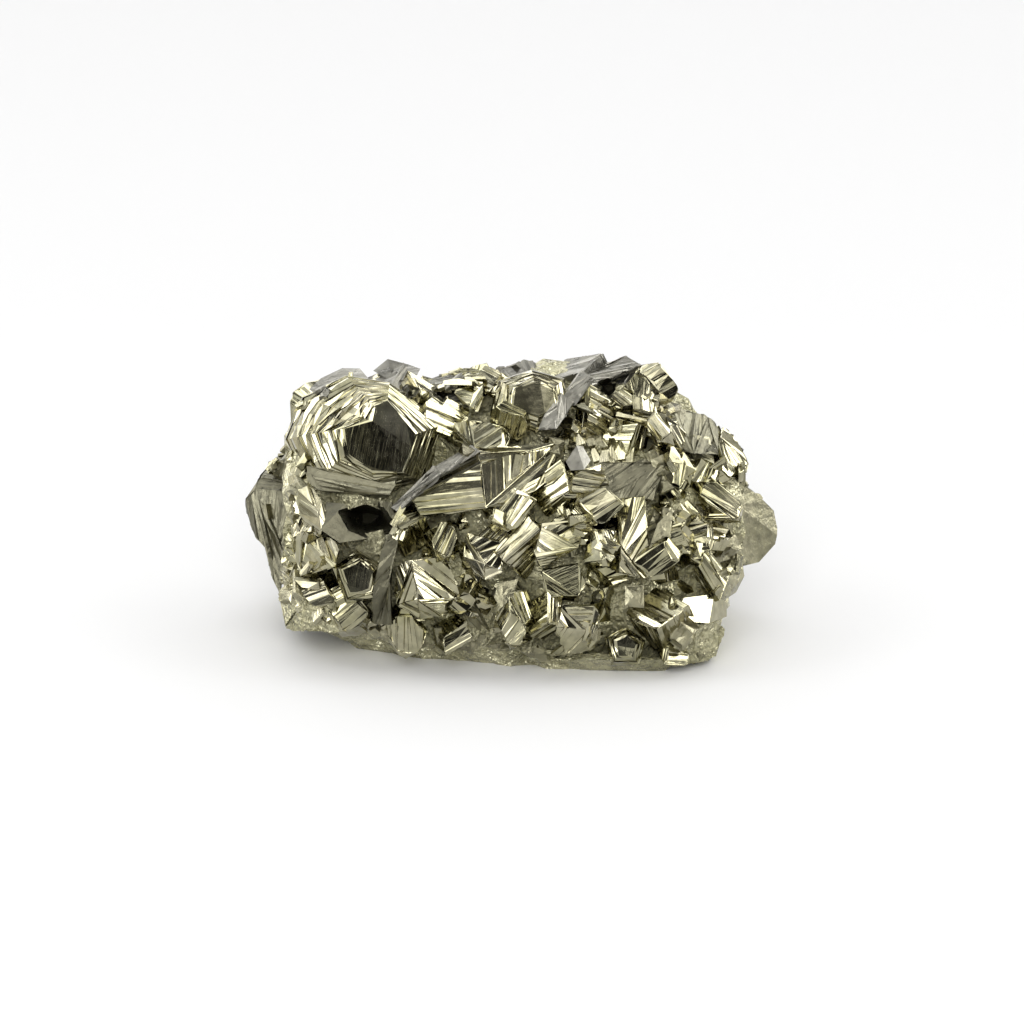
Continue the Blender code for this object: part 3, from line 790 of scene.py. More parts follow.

# Each great crystal: name, depth of its root, corners (across, up, out), finish and steps.
# Great crystals that wear the shaded finish carry painted shade.
GREAT_CRYSTALS = (
    GreatCrystal("left_shoulder", 4.0, (
        (-22.4, 13.4, -1.6), (-21.4, 14.9, -3.4), (-19.2, 15.8, -4.2), (-17.2, 15.6, -4.4),
        (-15.8, 14.6, -1.4), (-20.6, 12.2, 0.8),
    ), finish=Finish.GREY, **SMOOTH),
    GreatCrystal("left_knob", 3.6, (
        (-15.9, 15.5, -3.4), (-14.1, 16.6, -4.6), (-11.8, 16.6, -4.8), (-10.6, 16.0, -4.0),
        (-10.6, 14.6, -1.8), (-13.4, 14.4, -1.2),
    ), finish=Finish.GREY, **SMOOTH),
    GreatCrystal("lobe", 6.0, (
        (-28.9, 3.0, -4.6), (-25.2, 2.4, -1.6), (-25.2, -5.0, -0.8), (-30.0, 1.2, -6.2),
        (-27.4, 6.1, -7.4), (-26.3, 6.8, -7.2), (-25.8, -8.6, -1.6), (-26.6, -6.4, -2.6),
        (-28.2, -4.0, -4.2), (-29.7, -1.0, -6.0), (-24.2, 3.4, -2.2),
    ), finish=Finish.SHADED, steps=FINE, lead_steps=FINE, lead_turn=84.0),
    GreatCrystal("left_foot", 9.0, (
        (-25.4, -12.2, 1.4), (-25.9, -8.4, 1.0), (-23.2, -9.4, 7.6), (-23.6, -12.6, 5.4),
        (-19.0, -12.8, 8.2), (-19.6, -9.8, 9.6),
    ), finish=Finish.MATRIX, lead_turn=-20.0),
    GreatCrystal("slant_block", 7.0, (
        (-24.3, 1.4, 4.6), (-21.4, 1.9, 8.0), (-22.2, -2.1, 9.6), (-24.4, -2.4, 7.0),
        (-22.4, 2.4, 5.6),
    ), lead_turn=48.0),
    GreatCrystal("left_pyramid", 7.0, (
        (-18.6, 0.7, 9.6), (-21.2, -2.1, 10.8), (-15.6, -2.9, 11.4), (-18.7, -3.1, 12.0),
        (-20.6, 0.6, 8.2),
    ), finish=Finish.SHADED, **SMOOTH),
    GreatCrystal("cracked_face", 7.0, (
        (-23.0, -2.6, 7.6), (-19.3, -2.9, 10.6), (-19.9, -6.2, 11.2), (-23.4, -6.6, 8.4),
        (-19.0, -4.0, 11.2),
    ), lead_turn=-60.0, lead_steps=BROAD),
    GreatCrystal("ledge", 4.0, (
        (-22.6, 3.4, 6.8), (-13.0, 2.7, 9.9), (-12.6, 3.9, 9.4), (-22.8, 4.7, 6.2),
        (-21.0, 2.3, 7.8), (-13.4, 1.8, 10.2),
    ), finish=Finish.SHADED, steps=FINE, lead_steps=BROAD, lead_turn=-4.0),
    GreatCrystal("seam_upper", 5.0, (
        (-14.5, 1.0, 10.8), (-13.3, 1.0, 10.8), (-13.0, -3.2, 12.6), (-14.1, -3.4, 12.6),
    ), **SEAM, lead_turn=64.0),
    GreatCrystal("seam_middle", 5.0, (
        (-14.1, -3.0, 12.6), (-12.9, -3.0, 12.6), (-13.8, -8.2, 12.0), (-15.1, -8.0, 12.0),
    ), **SEAM, lead_turn=48.0),
    GreatCrystal("seam_lower", 6.0, (
        (-15.0, -7.6, 12.0), (-13.6, -7.8, 12.0), (-13.9, -12.6, 9.8), (-15.7, -12.4, 9.8),
    ), **SEAM, lead_turn=70.0),
    GreatCrystal("striped_pyramid", 7.0, (
        (-12.9, -5.6, 10.6), (-10.9, -5.0, 12.6), (-10.4, -9.8, 12.2), (-12.9, -10.2, 10.4),
        (-10.0, -11.6, 10.2), (-7.6, -11.2, 10.0), (-5.4, -9.2, 9.6), (-7.4, -5.0, 10.6),
    ), lead_turn=-66.0, lead_steps=COARSE),
    GreatCrystal("table", 9.0, (
        (-3.1, 4.9, 12.4), (-3.1, 0.7, 13.4), (-11.2, 1.2, 11.6), (-10.4, -0.7, 12.2),
        (-9.2, 3.2, 11.0), (-4.2, 6.3, 11.4), (4.8, 7.3, 8.8), (5.4, 6.2, 8.4), (2.4, 2.2, 10.8),
        (0.8, 1.0, 11.6),
    ), lead_turn=4.0, lead_steps=COARSE),
    GreatCrystal("blade_lower", 7.0, (
        (-13.5, 0.2, 11.4), (-12.7, -0.3, 12.2), (-7.6, 3.9, 12.8), (-8.4, 4.6, 11.8),
    ), **BAND, lead_turn=38.0),
    GreatCrystal("blade_upper", 7.0, (
        (-8.6, 4.3, 11.8), (-7.8, 3.6, 12.8), (-3.4, 6.1, 12.0), (-4.4, 6.9, 11.0),
    ), **BAND, lead_turn=30.0),
    GreatCrystal("stripe_block", 8.0, (
        (-4.8, 10.0, 5.6), (-0.9, 9.2, 7.0), (-1.6, 6.0, 9.8), (-4.5, 6.8, 9.0), (-6.6, 7.6, 6.6),
        (-6.9, 9.2, 5.0), (0.0, 8.0, 7.0),
    ), lead_turn=52.0),
    GreatCrystal("split_block", 7.0, (
        (-6.2, 13.2, 2.6), (-3.4, 14.0, 2.6), (-3.4, 11.0, 5.8), (-4.8, 11.8, 5.2),
        (-5.4, 14.2, 1.2), (-2.8, 12.2, 4.4),
    ), lead_turn=-40.0),
    GreatCrystal("dyke_lower", 6.0, (
        (3.0, 8.9, 8.4), (4.8, 9.0, 8.4), (6.8, 12.2, 6.0), (5.3, 13.0, 5.6),
    ), **BAND, lead_turn=55.0),
    GreatCrystal("dyke_middle", 6.0, (
        (5.2, 12.0, 5.8), (6.9, 11.6, 6.0), (9.3, 14.2, 3.2), (7.9, 15.4, 2.2),
    ), **BAND, lead_turn=50.0),
    GreatCrystal("dyke_upper", 6.0, (
        (7.6, 14.6, 2.6), (9.2, 13.6, 3.2), (14.6, 16.2, -1.2), (12.6, 17.2, -2.8),
    ), **BAND, lead_turn=30.0),
    GreatCrystal("window_face", 6.0, (
        (5.6, 5.8, 10.4), (7.0, 7.3, 9.6), (8.6, 5.5, 9.8), (7.8, 4.7, 10.8), (6.0, 4.7, 11.0),
        (7.8, 7.3, 9.2),
    ), finish=Finish.GREY, **SMOOTH),
    GreatCrystal("upper_right", 8.0, (
        (18.3, 11.4, 3.0), (22.2, 10.4, 0.6), (20.2, 6.1, 6.8), (23.2, 9.8, -0.6), (22.8, 6.0, 4.2),
        (18.0, 7.0, 6.6), (16.8, 9.4, 5.4), (17.4, 11.4, 3.4),
    ), finish=Finish.SHADED, steps=MEDIUM, lead_steps=COARSE, lead_turn=62.0),
    GreatCrystal("right_crest", 6.0, (
        (24.2, 9.3, -2.6), (26.8, 5.6, -2.4), (24.4, 3.4, 3.2), (25.3, 7.9, -2.8), (23.6, 8.0, 0.4),
        (26.2, 4.0, -0.4), (23.4, 4.4, 3.8),
    ), lead_turn=-50.0),
    GreatCrystal("nub", 6.0, (
        (25.4, 0.8, 0.8), (28.6, 1.4, -3.4), (28.0, -4.8, -2.6), (25.6, 3.2, -0.8),
        (27.4, 2.7, -3.2), (29.8, 0.5, -4.6), (30.0, -1.6, -4.8), (29.8, -3.4, -4.6),
        (25.2, -5.8, 0.4), (24.6, -1.0, 1.6),
    ), finish=Finish.OLIVE, **SMOOTH),
    GreatCrystal("right_flank", 9.0, (
        (23.4, -1.4, 4.6), (26.0, -6.6, 0.2), (23.6, -9.4, 4.6), (25.2, -8.9, 0.6),
        (25.2, -1.2, 1.8), (21.4, -9.8, 7.0),
    ), finish=Finish.OLIVE, **SMOOTH),
    GreatCrystal("mirror", 7.0, (
        (18.4, -10.4, 10.5), (22.4, -8.8, 8.0), (21.8, -11.9, 9.5), (19.0, -9.2, 9.8),
        (20.2, -11.8, 10.2), (23.9, -9.7, 5.4), (23.9, -11.2, 5.4),
    ), **SMOOTH),
    GreatCrystal("right_foot", 9.0, (
        (22.6, -11.6, 7.4), (23.7, -12.4, 5.0), (22.4, -15.6, 5.0), (21.4, -16.3, 5.2),
        (17.8, -16.5, 6.4), (18.6, -12.6, 9.4),
    ), finish=Finish.MATRIX, lead_turn=-60.0),
    GreatCrystal("olive_blade", 6.0, (
        (17.9, 0.2, 9.6), (15.2, -3.6, 11.8), (15.4, -7.4, 11.8), (16.1, -1.2, 10.6),
        (16.6, -5.0, 12.0), (17.4, -2.8, 11.4),
    ), finish=Finish.OLIVE, **SMOOTH),
    GreatCrystal("tent", 6.0, (
        (8.6, -1.8, 11.8), (7.7, -5.4, 11.8), (9.9, -5.1, 13.2), (11.1, -2.0, 11.8),
        (11.7, -3.3, 11.6), (10.9, -4.6, 12.4),
    ), lead_steps=None, steps=FINE),
    GreatCrystal("bar_panel", 7.0, (
        (3.0, -1.4, 11.6), (7.8, -0.8, 11.8), (7.4, -3.8, 12.8), (3.2, -5.6, 12.6),
        (2.2, -4.0, 12.2),
    ), lead_turn=28.0),
    GreatCrystal("dark_panel", 7.0, (
        (3.2, -6.0, 12.2), (7.2, -5.6, 12.0), (7.2, -9.2, 11.8), (3.6, -9.6, 11.6),
        (7.9, -7.4, 11.2),
    ), lead_steps=None),
    GreatCrystal("fan", 8.0, (
        (5.2, -10.2, 11.8), (9.4, -9.8, 11.6), (8.2, -12.8, 11.6), (5.0, -12.4, 11.4),
        (5.6, -15.0, 9.4), (8.2, -14.8, 9.2), (9.9, -11.6, 10.6),
    ), lead_turn=10.0, lead_steps=COARSE),
    GreatCrystal("golden_shelf", 7.0, (
        (11.6, 1.0, 10.8), (15.0, 1.4, 10.4), (15.2, -6.8, 11.4), (12.0, -6.6, 11.8),
        (11.8, -3.4, 12.2),
    ), lead_turn=70.0),
    GreatCrystal("fibre_panel", 7.0, (
        (9.6, 5.4, 8.8), (16.6, 5.2, 8.2), (15.8, 1.2, 10.2), (10.2, 1.0, 11.0),
    ), finish=Finish.SHADED, steps=MEDIUM, lead_steps=MEDIUM, lead_turn=62.0),
    GreatCrystal("pale_knob", 6.0, (
        (12.6, -7.8, 11.2), (14.9, -7.6, 11.0), (14.6, -10.0, 10.8), (12.7, -9.9, 11.2),
        (13.7, -8.8, 12.0),
    ), finish=Finish.OLIVE, **SMOOTH),
    GreatCrystal("green_face", 6.0, (
        (-1.9, -7.8, 11.4), (0.9, -7.2, 11.4), (-0.8, -10.3, 11.6), (0.4, -9.2, 11.6),
        (-2.1, -9.0, 11.2),
    ), finish=Finish.OLIVE, **SMOOTH),
    GreatCrystal("pale_slabs", 6.0, (
        (-4.8, -2.4, 11.2), (-1.4, -3.0, 11.6), (-2.8, -5.6, 12.4), (-5.0, -4.8, 11.8),
        (-1.2, -6.6, 12.2), (-2.9, -7.4, 11.8),
    ), lead_turn=35.0),
    GreatCrystal("underlip", 7.0, (
        (1.0, -16.4, 5.4), (8.0, -17.5, 4.2), (16.6, -17.2, 4.6), (18.6, -15.6, 7.0),
        (12.0, -15.8, 8.2), (3.0, -14.6, 8.6),
    ), finish=Finish.MATRIX, steps=None, lead_steps=FINE),
)

# Crystals that step back in terraces from their front face.
TERRACED_CRYSTALS = (
    TerracedCrystal("crown", (
        (-13.7, 11.8, 10.0), (-10.6, 8.3, 10.2), (-12.1, 4.3, 10.2), (-15.5, 4.5, 10.0),
        (-18.1, 6.2, 9.6), (-18.5, 8.9, 9.4), (-15.4, 9.7, 9.7), (-15.1, 11.2, 9.8),
    ), (
        (-13.6, 14.0, 5.0), (-7.2, 9.6, 3.6), (-9.6, 3.0, 5.6), (-14.6, 1.2, 6.4),
        (-22.6, 3.0, 3.0), (-25.5, 8.0, -0.6), (-23.6, 12.6, -0.8), (-18.6, 14.9, 2.2),
    ), root=9.0, terraces=14, dome=1.5),
    TerracedCrystal("ring_crystal", (
        (0.4, 13.3, 6.3), (2.5, 13.9, 6.0), (4.5, 13.2, 6.0), (4.9, 11.3, 6.6), (3.0, 10.4, 6.9),
        (0.1, 11.0, 6.8),
    ), (
        (-1.6, 14.3, 3.0), (2.2, 15.5, 2.2), (5.9, 14.5, 2.6), (6.5, 10.6, 4.6), (2.6, 8.6, 6.0),
        (-2.5, 10.4, 4.8),
    ), root=5.0, terraces=6, dome=1.3),
    TerracedCrystal("ball", (
        (-18.6, -6.2, 12.0), (-16.6, -5.4, 12.0), (-15.4, -6.6, 12.2), (-15.8, -8.2, 12.2),
        (-17.8, -8.6, 12.0),
    ), (
        (-20.0, -6.0, 9.2), (-17.2, -3.9, 9.2), (-14.4, -5.6, 9.6), (-14.6, -9.2, 9.6),
        (-18.4, -9.9, 9.2),
    ), root=6.0, terraces=4, dome=1.7),
    TerracedCrystal("dark_ball", (
        (11.6, -13.8, 9.8), (12.8, -13.3, 9.8), (13.7, -14.2, 9.8), (13.2, -15.4, 9.6),
        (11.8, -15.4, 9.6),
    ), (
        (10.2, -13.4, 7.4), (12.6, -12.2, 7.6), (14.8, -13.8, 7.4), (14.2, -16.4, 6.8),
        (11.0, -16.5, 6.8),
    ), root=6.0, terraces=4, dome=1.7),
)

# Crystals whose corners stay where they are.
STRAIGHT = ("crown", "ring_crystal", "ball", "dark_ball", "mirror")

# Crystals of the front: habit, centre (across, up, out), half width, direction its face looks, turn.
FRONT_CRYSTALS = (
    (Habit.CUBE, (12.4, 12.0, 3.2), 1.3, (-0.3, 0.6, 1.0), 30),
    (Habit.BEVELLED_CUBE, (14.8, 11.0, 3.2), 1.9, (0.1, 0.4, 1.0), 0),
    (Habit.CUBE, (9.6, 9.8, 4.4), 1.9, (0.8, 0.5, 1.0), 15),
    (Habit.BEVELLED_CUBE, (16.0, 13.6, -1.4), 1.8, (0.3, 0.6, 1.0), 50),
    (Habit.BLUNT_CUBE, (22.3, 0.8, 4.8), 2.1, (0.4, 0.3, 1.0), 20),
    (Habit.PYRITOHEDRON, (20.2, -3.2, 7.6), 1.9, (0.3, 0.3, 1.0), 25),
    (Habit.CUBE, (21.8, -6.6, 6.8), 1.8, (0.5, -0.3, 1.0), 55),
    (Habit.PYRITOHEDRON, (18.2, -3.6, 8.8), 2.0, (-0.3, 0.3, 1.0), 10),
    (Habit.BLUNT_CUBE, (18.2, 3.8, 6.6), 1.8, (0.0, 0.3, 1.0), 40),
    (Habit.CUBE, (16.6, -11.8, 7.6), 2.1, (-0.7, 0.6, 1.0), 25),
    (Habit.BEVELLED_CUBE, (18.0, -14.6, 6.6), 1.7, (0.2, 0.0, 1.0), 5),
    (Habit.PYRITOHEDRON, (0.6, -11.6, 9.8), 2.0, (-0.2, 0.1, 1.0), 30),
    (Habit.CUBE, (3.6, -11.2, 10.0), 1.3, (0.6, 0.7, 1.0), 40),
    (Habit.BEVELLED_CUBE, (-21.0, -8.4, 7.6), 2.1, (-0.3, 0.2, 1.0), 15),
    (Habit.CUBE, (-11.6, -2.0, 9.6), 1.9, (-0.5, 0.8, 1.0), 20),
    (Habit.BLUNT_CUBE, (-7.6, -3.2, 10.0), 2.2, (0.1, 0.4, 1.0), 45),
    (Habit.CUBE, (0.6, -3.2, 9.8), 2.1, (-0.8, 0.6, 1.0), 30),
    (Habit.BEVELLED_CUBE, (-0.2, 0.4, 10.6), 1.9, (0.2, 0.2, 1.0), 60),
    (Habit.CUBE, (5.4, 2.2, 8.8), 2.2, (0.7, 0.6, 1.0), 20),
    (Habit.BLUNT_CUBE, (8.6, 2.8, 9.2), 2.1, (-0.2, 0.4, 1.0), 10),
    (Habit.BEVELLED_CUBE, (9.6, 0.0, 10.4), 1.9, (0.1, 0.5, 1.0), 35),
    (Habit.CUBE, (-1.8, 13.8, -0.4), 1.6, (-0.7, 0.4, 1.0), 25),
    (Habit.CUBE, (-9.2, 11.9, 1.8), 2.0, (0.6, 0.5, 1.0), 15),
    (Habit.BEVELLED_CUBE, (0.2, 9.8, 5.0), 2.0, (-0.2, -0.1, 1.0), 55),
    (Habit.CUBE, (12.6, 7.4, 5.4), 2.3, (-0.6, 0.8, 1.0), 50),
    (Habit.BLUNT_CUBE, (-12.2, -12.8, 8.0), 1.8, (-0.1, -0.2, 1.0), 30),
    (Habit.CUBE, (-6.6, -12.8, 8.0), 1.4, (0.5, -0.3, 1.0), 50),
    (Habit.BEVELLED_CUBE, (-18.4, -10.6, 7.6), 2.0, (-0.2, 0.0, 1.0), 40),
    (Habit.CUBE, (-8.4, 9.2, 3.2), 2.1, (0.7, 0.3, 1.0), 10),
)

# Crystals round the rest: across, share of the way round the core, half width, rise, habit.
ROUND_CRYSTALS = (
    (-21.0, 0.60, 4.0, 1.4, Habit.BEVELLED_CUBE),
    (-13.0, 0.66, 5.4, 1.9, Habit.PYRITOHEDRON),
    (-4.0, 0.61, 3.2, 0.2, Habit.CUBE),
    (4.0, 0.69, 6.0, 2.0, Habit.BEVELLED_CUBE),
    (13.0, 0.63, 4.6, 1.7, Habit.CUBE),
    (21.0, 0.67, 3.8, 1.6, Habit.BLUNT_CUBE),
    (-19.5, 0.75, 4.6, 1.7, Habit.CUBE),
    (-9.0, 0.77, 4.4, 1.9, Habit.BLUNT_CUBE),
    (-1.5, 0.79, 3.8, 1.6, Habit.BEVELLED_CUBE),
    (10.0, 0.77, 5.0, 2.0, Habit.PYRITOHEDRON),
    (18.0, 0.79, 4.2, 1.6, Habit.BEVELLED_CUBE),
    (-15.0, 0.51, 3.0, 0.9, Habit.CUBE),
    (-6.5, 0.50, 2.8, 0.3, Habit.BEVELLED_CUBE),
    (0.5, 0.51, 3.0, 0.3, Habit.BLUNT_CUBE),
    (8.0, 0.52, 2.8, 0.5, Habit.CUBE),
    (14.5, 0.52, 3.0, 0.8, Habit.BEVELLED_CUBE),
    (-24.0, 0.70, 3.2, 1.2, Habit.BEVELLED_CUBE),
    (23.0, 0.64, 3.0, 0.9, Habit.CUBE),
    (24.2, 0.74, 2.8, 1.2, Habit.BEVELLED_CUBE),
    (-24.0, 0.82, 2.8, 1.2, Habit.CUBE),
)

# Pits: middle (across, up), half width, half height, how far out their mouth and their floor lie.
PITS = (
    ((-15.9, -0.7), 2.4, 2.1, 8.6, 1.0),
    ((10.9, 14.0), 1.1, 0.9, 1.4, -3.0),
    ((14.2, 13.8), 1.3, 1.1, 1.2, -3.0),
    ((17.6, 2.3), 1.0, 1.1, 8.6, 4.6),
    ((-3.3, -8.9), 1.8, 1.5, 11.0, 6.0),
    ((-6.3, -10.4), 1.0, 0.8, 10.4, 6.0),
    ((-11.6, 13.3), 1.1, 0.8, 1.8, -3.0),
    ((-7.6, 13.4), 1.1, 0.9, 1.8, -3.0),
)


# --- the core ------------------------------------------------------------------------------------

# The core's sections: across, foot height, front foot, front, top front, top back, top, back.
STATIONS = (
    (-25.4, 3.6, -1.5, -3.6, 0.5, 5.6, 22.4, 7.0),
    (-23.0, 2.8, -2.8, -7.0, -0.5, 7.4, 25.0, 9.4),
    (-17.0, 1.2, -4.2, -9.6, 0.5, 9.2, 27.0, 11.8),
    (-10.0, -0.4, -6.0, -10.6, 1.5, 9.8, 27.2, 12.6),
    (-2.0, -0.4, -7.6, -11.0, 2.2, 9.8, 28.2, 12.6),
    (6.0, -0.4, -9.8, -11.4, 2.4, 9.4, 29.3, 12.2),
    (13.0, -0.4, -10.2, -11.0, 1.4, 8.6, 29.0, 12.0),
    (18.5, -0.4, -8.2, -9.4, 0.4, 7.4, 26.0, 11.0),
    (22.2, 0.6, -5.4, -7.4, 0.2, 6.2, 23.0, 9.6),
    (23.6, 5.0, -3.2, -5.2, 0.4, 5.4, 21.8, 8.2),
    (25.4, 8.4, -1.6, -3.0, 0.6, 4.4, 19.0, 6.2),
)


@dataclass
class Core:
    """The rock that the crystals grow from: a lofted mass with a rough skin.

    Attributes:
        stations: its sections from left to right, in mm.
        sides: how many corners a section has.
        jitter: how far a section's corners stray, in mm.
        roughness: how far the skin between the corners strays.
        seed: what makes its skin its own.
    """

    stations: tuple[tuple[float, ...], ...] = STATIONS
    sides: int = 9
    jitter: float = 0.5
    roughness: float = 1.4
    seed: int = 41

    def loop(self, across: float) -> list[Vector]:
        """Return a section's corners (y, z), round from the front foot by the front and the top.

        Args:
            across: where the section lies, in mm.

        Returns:
            Its corners.
        """
        low, high = self.stations[0], self.stations[1]
        for low, high in zip(self.stations, self.stations[1:]):
            if across <= high[0]:
                break
        share = (across - low[0]) / (high[0] - low[0])
        _, foot, front_foot, front_y, top_front, top_back, top, back = (
            a + (b - a) * share for a, b in zip(low, high)
        )
        tall = top - foot
        return [Vector(corner) for corner in (
            (front_foot, foot), (front_y, foot + 0.20 * tall), (front_y, foot + 0.48 * tall),
            (0.6 * front_y + 0.4 * top_front, foot + 0.76 * tall),
            (top_front + 2.0, foot + 0.97 * tall), (top_back, top), (back - 0.8, foot + 0.74 * tall),
            (back, foot + 0.34 * tall), (0.72 * back, foot),
        )]

    def place(self, across: float, share: float) -> Vector:
        """Return the place at a share of the way round a section.

        Args:
            across: where the section lies, in mm.
            share: how far round it, from 0 to 1.

        Returns:
            The place, in mm.
        """
        corners = self.loop(across)
        number, part = divmod((share % 1.0) * self.sides, 1.0)
        spot = corners[int(number)].lerp(corners[(int(number) + 1) % self.sides], part)
        return Vector((across, spot.x, spot.y))

    def facing(self, across: float, share: float) -> Vector:
        """Return the outward direction at a place on the core.

        Args:
            across: where the section lies, in mm.
            share: how far round it, from 0 to 1.

        Returns:
            The direction, of length 1.
        """
        along = self.place(across + 0.4, share) - self.place(across - 0.4, share)
        round_it = self.place(across, share + 0.02) - self.place(across, share - 0.02)
        return along.cross(round_it).normalized()

    def build(self) -> bpy.types.Object:
        """Draw a cylinder out through the sections and roughen its skin."""
        first, last = self.stations[0][0], self.stations[-1][0]
        bpy.ops.mesh.primitive_cylinder_add(
            vertices=self.sides, radius=1.0, depth=last - first,
            location=((first + last) / 2, 0, 0), rotation=(0, math.pi / 2, 0),
        )
        piece = bpy.context.object
        piece.name = "core"
        bpy.ops.object.transform_apply(location=True, rotation=True, scale=False)
        edit(piece)
        for station in self.stations[1:-1]:
            bpy.ops.mesh.select_all(action="SELECT")
            bpy.ops.mesh.bisect(
                plane_co=(station[0], 0, 0), plane_no=(1, 0, 0), threshold=CUT_THRESHOLD,
            )
        self.draw_out(piece)
        bpy.ops.mesh.select_all(action="SELECT")
        bpy.ops.mesh.quads_convert_to_tris(quad_method="BEAUTY", ngon_method="BEAUTY")
        bpy.ops.mesh.subdivide(number_cuts=3, fractal=self.roughness, fractal_along_normal=0.6,
                               seed=self.seed)
        bpy.ops.mesh.quads_convert_to_tris(quad_method="BEAUTY", ngon_method="BEAUTY")
        bpy.ops.mesh.normals_make_consistent(inside=False)
        close_edit()
        dress_rock(piece, Finish.MATRIX)
        return piece

    def draw_out(self, piece: bpy.types.Object) -> None:
        """Move every corner of the cylinder's rings out to its section.

        Args:
            piece: the cylinder, open in edit mode.
        """
        chance = random.Random(self.seed)
        shape = opened_mesh(piece)
        rings: dict[int, list[bmesh.types.BMVert]] = {}
        for corner in shape.verts:
            number = min(range(len(self.stations)),
                         key=lambda i: abs(self.stations[i][0] - corner.co.x))
            rings.setdefault(number, []).append(corner)
        for number, ring in sorted(rings.items()):
            across = self.stations[number][0]
            ring.sort(key=lambda corner: math.atan2(corner.co.y, corner.co.z))
            for corner, spot in zip(ring, self.loop(across)):
                nudge = Vector([chance.uniform(-self.jitter, self.jitter) for _ in range(3)])
                corner.co = Vector((across, spot.x, spot.y)) + nudge


def dress_along_rings(piece: bpy.types.Object, middle: Vector) -> None:
    """Lay a piece's pattern up its front face, and hardly any on its terraces.

    Args:
        piece: what is dressed.
        middle: where the pattern starts, in mm.
    """
    ahead = FRONT.direction(0, 0, 1)
    up = FRONT.direction(0.2, 1, 0).normalized()

    def axes(face: bpy.types.MeshPolygon) -> Axes:
        """Return the directions of a face's pattern, drawn wide on the terraces."""
        share = 1.0 if face.normal.dot(ahead) > 0.98 else 0.12
        return up * share, face.normal.cross(up) * share

    lay_pattern(piece, axes, middle)


def dress_along(piece: bpy.types.Object, grain: Vector) -> None:
    """Lay a piece's pattern along one direction on all its faces.

    Args:
        piece: what is dressed.
        grain: the direction.
    """

    def axes(face: bpy.types.MeshPolygon) -> Axes:
        """Return a face's directions along the grain and across it."""
        side = face.normal.cross(grain)
        side = side.normalized() if side.length > 0.3 else face.normal.orthogonal()
        return side.cross(face.normal), side

    lay_pattern(piece, axes)


def dress_rock(piece: bpy.types.Object, finish: Finish) -> None:
    """Lay a piece's pattern flat on each face and give it its finish's slot.

    Args:
        piece: what is dressed.
        finish: the finish it wears.
    """

    def axes(face: bpy.types.MeshPolygon) -> Axes:
        """Return two directions in a face."""
        grain = face.normal.orthogonal().normalized()
        return grain, face.normal.cross(grain)

    lay_pattern(piece, axes)
    give_finish(piece, finish)


# --- small crystals ------------------------------------------------------------------------------


@dataclass(frozen=True)
class Zone:
    """A round or oval place on the front, in the leaning frame's millimetres.

    Attributes:
        across: its middle across the front.
        up: its middle up the front.
        half_width: its half width.
        half_height: its half height.
    """

    across: float
    up: float
    half_width: float
    half_height: float

    def holds(self, across: float, up: float, margin: float) -> bool:
        """Say whether a place lies in the zone or nearer to it than a margin."""
        return math.hypot((across - self.across) / (self.half_width + margin),
                          (up - self.up) / (self.half_height + margin)) < 1.0


# Great faces that stay clear of small crystals.
QUIET_ZONES = (
    Zone(-14.5, 7.6, 8.4, 6.6), Zone(-7.0, 2.2, 5.0, 2.2), Zone(1.0, 4.6, 5.0, 3.2),
    Zone(-27.6, 0.0, 3.0, 8.0), Zone(20.4, -10.6, 2.4, 1.8), Zone(27.6, -1.0, 3.2, 4.6),
    Zone(-18.3, -1.4, 2.6, 1.8), Zone(7.1, 6.0, 1.8, 1.6),
    Zone(-1.0, 8.0, 3.6, 2.0), Zone(2.3, 12.4, 3.0, 2.8), Zone(13.2, 3.2, 3.2, 2.2),
    Zone(-0.6, -8.9, 1.6, 1.6), Zone(5.4, -7.4, 2.2, 2.0), Zone(-16.9, -6.8, 2.8, 2.6),
    Zone(-15.9, -0.7, 1.3, 1.1), Zone(-13.8, -1.5, 0.9, 2.6), Zone(-14.3, -8.2, 0.9, 4.2),
    Zone(5.0, 11.0, 1.3, 2.2), Zone(8.4, 14.2, 1.7, 1.4), Zone(12.2, 16.0, 2.0, 0.9),
    Zone(-10.8, 2.0, 2.0, 1.4), Zone(-6.0, 5.3, 2.0, 0.9), Zone(10.9, 14.0, 0.9, 0.8),
    Zone(14.2, 13.8, 1.1, 0.9), Zone(-19.4, 14.6, 2.6, 1.0), Zone(-13.2, 15.8, 2.2, 0.8),
    Zone(12.6, -14.4, 2.0, 1.8), Zone(20.3, -10.5, 2.2, 1.6),
)


# The specimen's outline as it is seen from the front: (across, up).
OUTLINE = (
    (-30.0, 1.3), (-28.8, 3.8), (-27.8, 5.9), (-26.4, 6.8), (-25.4, 10.3), (-24.7, 12.0),
    (-22.2, 13.6), (-21.4, 15.0), (-19.1, 15.8), (-15.8, 15.9), (-14.1, 16.5), (-10.8, 16.3),
    (-9.1, 15.8), (-5.1, 16.7), (1.0, 17.2), (5.5, 17.8), (10.0, 17.2), (14.0, 17.1),
    (17.6, 15.2), (19.0, 12.7), (19.8, 11.0), (21.9, 10.6), (24.1, 9.4), (25.8, 6.9),
    (27.2, 3.8), (29.0, 1.2), (30.1, -1.5), (29.6, -3.5), (27.8, -4.8), (26.3, -5.9),
    (25.6, -8.0), (23.7, -9.6), (23.8, -11.5), (22.2, -15.7), (21.1, -16.3), (16.7, -17.3),
    (10.0, -17.8), (3.2, -16.9), (-3.5, -16.2), (-13.0, -15.2), (-16.9, -13.9), (-20.2, -13.1),
    (-25.3, -12.3), (-25.9, -10.4), (-26.2, -7.3), (-27.5, -5.0), (-29.0, -2.6),
)


